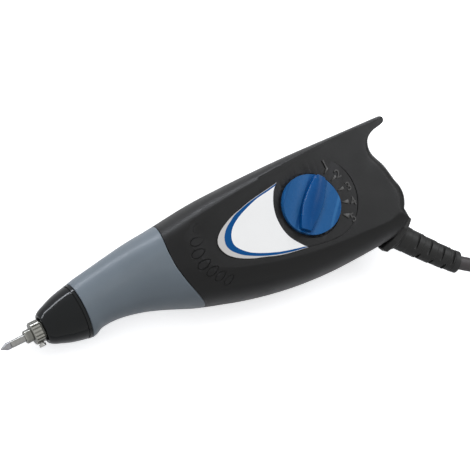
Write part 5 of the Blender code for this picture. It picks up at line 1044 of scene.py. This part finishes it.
# Rocker switch in the rear face
def switch():
    bezel = at_switch(block("switch_frame", (-1.9, -7.5, -5.25), (0.35, 7.5, 5.25), 0.45, 3))
    case = at_switch(block("case", (-9.5, -6.6, -4.3), (-1.0, 6.6, 4.3), 0.3))
    join_by(bezel, case, "UNION")
    well = at_switch(block("well", (-5.0, -5.4, -3.1), (3.0, 5.4, 3.1), 0.3))
    cut(bezel, well)
    for y in (-3.0, 3.0):
        join_by(bezel, at_switch(block("blade", (-13.5, y - 0.4, -1.4), (-8.0, y + 0.4, 1.4), 0.1)), "UNION")
    hand_over(bezel, 35, switch_black, "black_plastic", "housing", "switch_body")

    outline = [(-2.6, -4.1), (-1.0, -4.3), (2.0, -4.65), (1.7, -3.6), (1.15, -1.6), (1.0, 0.0), (1.15, 1.6), (1.7, 3.6),
               (2.0, 4.65), (-1.0, 4.3), (-2.6, 4.1)]
    rows = [[(x, y, z) for x, y in outline] for z in (-2.75, 2.75)]
    rocker = skin_over("rocker", rows)
    rocker.data.transform(Matrix.Translation(-PEN))
    soften(rocker, 0.3, 3)
    on_mark = block("on_mark", (1.0, 2.0, -0.2), (1.65, 3.4, 0.2), 0.08)
    off_mark = turned("off_mark", [(1.0, 0.55), (1.0, 0.9), (1.65, 0.9), (1.65, 0.55)], (0, -2.7, 0), steps=32,
                      hollow=True)
    off_mark.data.transform(Matrix.Translation(-PEN))
    tilt = Matrix.Translation(Vector((-1.2, 0, 0)) * MM) @ Matrix.Rotation(radians(7.0), 4, "Z")
    for piece, material in ((rocker, switch_black), (on_mark, mark_white), (off_mark, mark_white)):
        piece.data.transform(tilt)
        hand_over(at_switch(piece), 35, material, "black_plastic", "rocker")
    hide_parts("switch_rocker")


switch()


# Housing screws, one made and the rest copied
def housing_screws():
    first = turned("shell_screw_1", [(6.0, 0.9), (5.2, 1.4), (-12.3, 1.4), (-12.3, 2.7), (-13.4, 2.7), (-14.0, 2.3),
                                     (-14.3, 1.4)], (0, 0, 0), (0, 0, 1), 40)
    first.data.transform(Matrix.Translation(-PEN))
    for turn in (0.0, pi / 2):
        bit = block("bit", (-1.7, -0.35, -15.0), (1.7, 0.35, -13.2), 0.0)
        bit.data.transform(Matrix.Rotation(turn, 4, "Z"))
        cut(first, bit)
    screws = [first] + [copied(first, f"shell_screw_{i}") for i in range(2, len(SCREW_PLACES) + 1)]
    for i, (screw, (x, y)) in enumerate(zip(screws, SCREW_PLACES)):
        settle(screw, (x, y, 0))
        hand_over(screw, 35, screw_steel, "steel", "housing", f"housing_screw_{i + 1}")


housing_screws()


# Wires, cord end and coil inside
def wire(name, points, radius, material, node, steps=6):
    as_mesh(tube(name, [PEN + place * MM for place in smooth_line(points, steps)], radius, 3))
    piece = called(name)
    dress(smooth(piece, 40), material)
    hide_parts(node)
    return piece


leads = [
    wire("live_lead", [(169.41, -17.85, 1.2), (168.66, -16.43, 1.2), (164.5, -14.76, 1.2), (166.1, -13.08, 0.0),
                       (167.7, -13.08, 0.0)], 0.8, lead_brown, "wire_cord_to_switch"),
    wire("switched_lead", [(166.55, -7.19, 0.0), (164.95, -7.19, 0.0), (162.9, -7.19, -3.47), (144.57, -15.29, -10.4),
                           (124.65, -15.29, -10.4), (120.75, -9.4, -10.4), (118.35, -7.0, -10.4)], 0.8, lead_brown,
         "wire_switch_to_coil"),
    wire("return_lead", [(169.41, -17.85, -1.2), (168.66, -16.43, -1.2), (164.5, -14.76, -5.2), (144.57, -17.69, -12.8),
                         (124.65, -17.69, -12.8), (123.15, -7.0, -12.8), (120.75, 2.27, -12.0), (118.35, 4.67, -11.2)],
         0.8, lead_blue, "wire_cord_to_coil"),
]
for lead in leads:
    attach(lead, "housing")


def spring():
    """Spring wire curled round the rod, its end curls close together."""
    low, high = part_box("return_spring")
    thickness = 0.45
    close_pitch = 0.92
    steps = 24
    x = (low.x - PEN.x) / MM + thickness
    open_pitch = ((high.x - low.x) / MM - 2 * thickness - 2 * close_pitch) / 4
    points = []
    for i in range(6 * steps + 1):
        angle = 2 * pi * i / steps
        points.append((x, 3.8 * cos(angle), 3.8 * sin(angle)))
        x += (open_pitch if steps <= i < 5 * steps else close_pitch) / steps
    piece = wire("spring_wire", points, thickness, bright_steel, "return_spring", 1)
    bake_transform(piece)


spring()
cord_end = turned("cord_end", [(-12.9, 2.6), (-12.7, 3.2), (-5.9, 3.2)], GUARD_AT, GUARD_AHEAD, 40)
hand_over(cord_end, 35, cord_rubber, "black_rubber", "housing", "inner_cord")

bumper_low, bumper_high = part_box("stop_bumper")
bumper_at = ((bumper_low + bumper_high) / 2 - PEN) / MM
bumper = turned("rubber_bumper", [(-0.6, 2.6), (-0.4, 3.0), (0.6, 3.0)], bumper_at, (1, 0, 0), 40)
hand_over(bumper, 35, guard_rubber, "black_rubber", "stop", "stop_bumper")


def winding():
    """Copper wire in layers: a rounded loop, ribbed once for every turn."""
    low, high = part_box("coil_winding")
    low = (low - PEN) / MM
    high = (high - PEN) / MM
    rows = []
    turns = 20
    steps = 6 * turns
    inner_y, inner_z = 7.4, 9.4
    for i in range(steps + 1):
        x = low.x + (high.x - low.x) * i / steps
        rib = 0.12 * abs(sin(pi * turns * i / steps))
        half_y = high.y - 0.12 + rib
        half_z = high.z - 0.12 + rib
        row = []
        for quarter in range(4):
            for k in range(7):
                angle = pi / 2 * (quarter + k / 6)
                sy = 1 if quarter in (0, 3) else -1
                sz = 1 if quarter in (0, 1) else -1
                row.append((x, sy * (half_y - 2.4) + 2.4 * cos(angle), sz * (half_z - 2.4) + 2.4 * sin(angle)))
        rows.append(row)
    piece = skin_over("copper_turns", rows)
    cut(piece, room("hollow", (low.x - 1, -inner_y, -inner_z), (high.x + 1, inner_y, inner_z)))
    hand_over(piece, 40, winding_copper, "copper", "housing", "coil_winding")


winding()

# Pieces whose shape stays as the model has it
for node, material in (
    ("drive_rod", bright_steel), ("front_bush", bush_bronze), ("rear_bush", bush_bronze),
    ("laminated_core", sheet_iron), ("armature", sheet_iron), ("armature_nut", screw_steel),
    ("core_screw_1", screw_steel), ("core_screw_2", screw_steel), ("coil_bobbin", frame_nylon),
    ("stroke_cam", blade_brass), ("cam_screw", screw_steel), ("dial_washer", frame_nylon), ("stop_slide", frame_nylon),
    ("cord_clamp", frame_nylon), ("clamp_screw_1", screw_steel), ("clamp_screw_2", screw_steel),
):
    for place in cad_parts[node].material_slots:
        place.material = material


# Floor, light and white surroundings
def surroundings():
    begin()
    bpy.ops.mesh.primitive_plane_add(size=6.0, location=(0, 0, -0.0002))
    floor = called("floor")
    paper = bpy.data.materials.new("floor_paper")
    paper.use_nodes = True
    tree = paper.node_tree
    shader = tree.nodes["Principled BSDF"]
    for socket, value in (("Base Color", (0.86, 0.86, 0.86, 1.0)), ("Roughness", 0.9), ("Specular IOR Level", 0.1)):
        shader.inputs[socket].default_value = value
    white = add(tree, "Emission", {"Color": (1, 1, 1, 1), "Strength": 0.62})
    dark = add(tree, "Emission", {"Strength": 0.0})
    seen = add(tree, "LightPath")
    choice = add(tree, "MixShader", {}, {"Fac": seen.outputs["Is Camera Ray"], 1: dark.outputs["Emission"],
                                         2: white.outputs["Emission"]})
    both = add(tree, "AddShader", {}, {0: shader.outputs["BSDF"], 1: choice.outputs["Shader"]})
    tree.links.new(both.outputs["Shader"], tree.nodes["Material Output"].inputs["Surface"])
    floor.data.materials.append(paper)

    world = bpy.data.worlds.new("studio")
    bpy.context.scene.world = world
    world.use_nodes = True
    tree = world.node_tree
    dim = tree.nodes["Background"]
    dim.inputs["Color"].default_value = (0.9, 0.93, 1.0, 1.0)
    dim.inputs["Strength"].default_value = 0.25
    page = add(tree, "Background", {"Color": (1, 1, 1, 1), "Strength": 1.0})
    path = add(tree, "LightPath")
    mirrored_or_seen = add(tree, "Math", {}, {0: path.outputs["Is Camera Ray"], 1: path.outputs["Is Glossy Ray"]})
    any_of_three = add(tree, "Math", {}, {0: mirrored_or_seen.outputs["Value"], 1: path.outputs["Is Transmission Ray"]})
    for step in (mirrored_or_seen, any_of_three):
        step.operation = "MAXIMUM"
    mix = add(tree, "MixShader", {}, {"Fac": any_of_three.outputs["Value"], 1: dim.outputs["Background"],
                                      2: page.outputs["Background"]})
    tree.links.new(mix.outputs["Shader"], tree.nodes["World Output"].inputs["Surface"])

    lamps = (
        ("top_strip", AIM + Vector((-0.05, 0.78, 0.0)), Vector((1, 0, 0)), 1.50, 0.09, 8.0, (0.90, 0.93, 1.0), True),
        ("page_light", AIM + 0.80 * back + 0.25 * view_up, view_right, 0.60, 0.60, 3.9, (1.0, 1.0, 1.0), False),
        ("rear_sheen", AIM + Vector((0.56, 0.16, 0.56)), view_up, 0.45, 0.45, 2.6, (0.95, 0.97, 1.0), True),
    )
    for name, place, level, width, height, watts, tint, mirrored in lamps:
        data = bpy.data.lights.new(name, "AREA")
        data.shape = "RECTANGLE"
        data.size = width
        data.size_y = height
        data.energy = watts
        data.color = tint
        lamp = bpy.data.objects.new(name, data)
        away = (place - AIM).normalized()
        across = (level - level.dot(away) * away).normalized()
        lamp.matrix_world = Matrix.Translation(place) @ Matrix((across, away.cross(across), away)).transposed().to_4x4()
        lamp.visible_glossy = mirrored
        bpy.context.scene.collection.objects.link(lamp)


surroundings()

view = bpy.context.scene.view_settings
view.view_transform = "Standard"
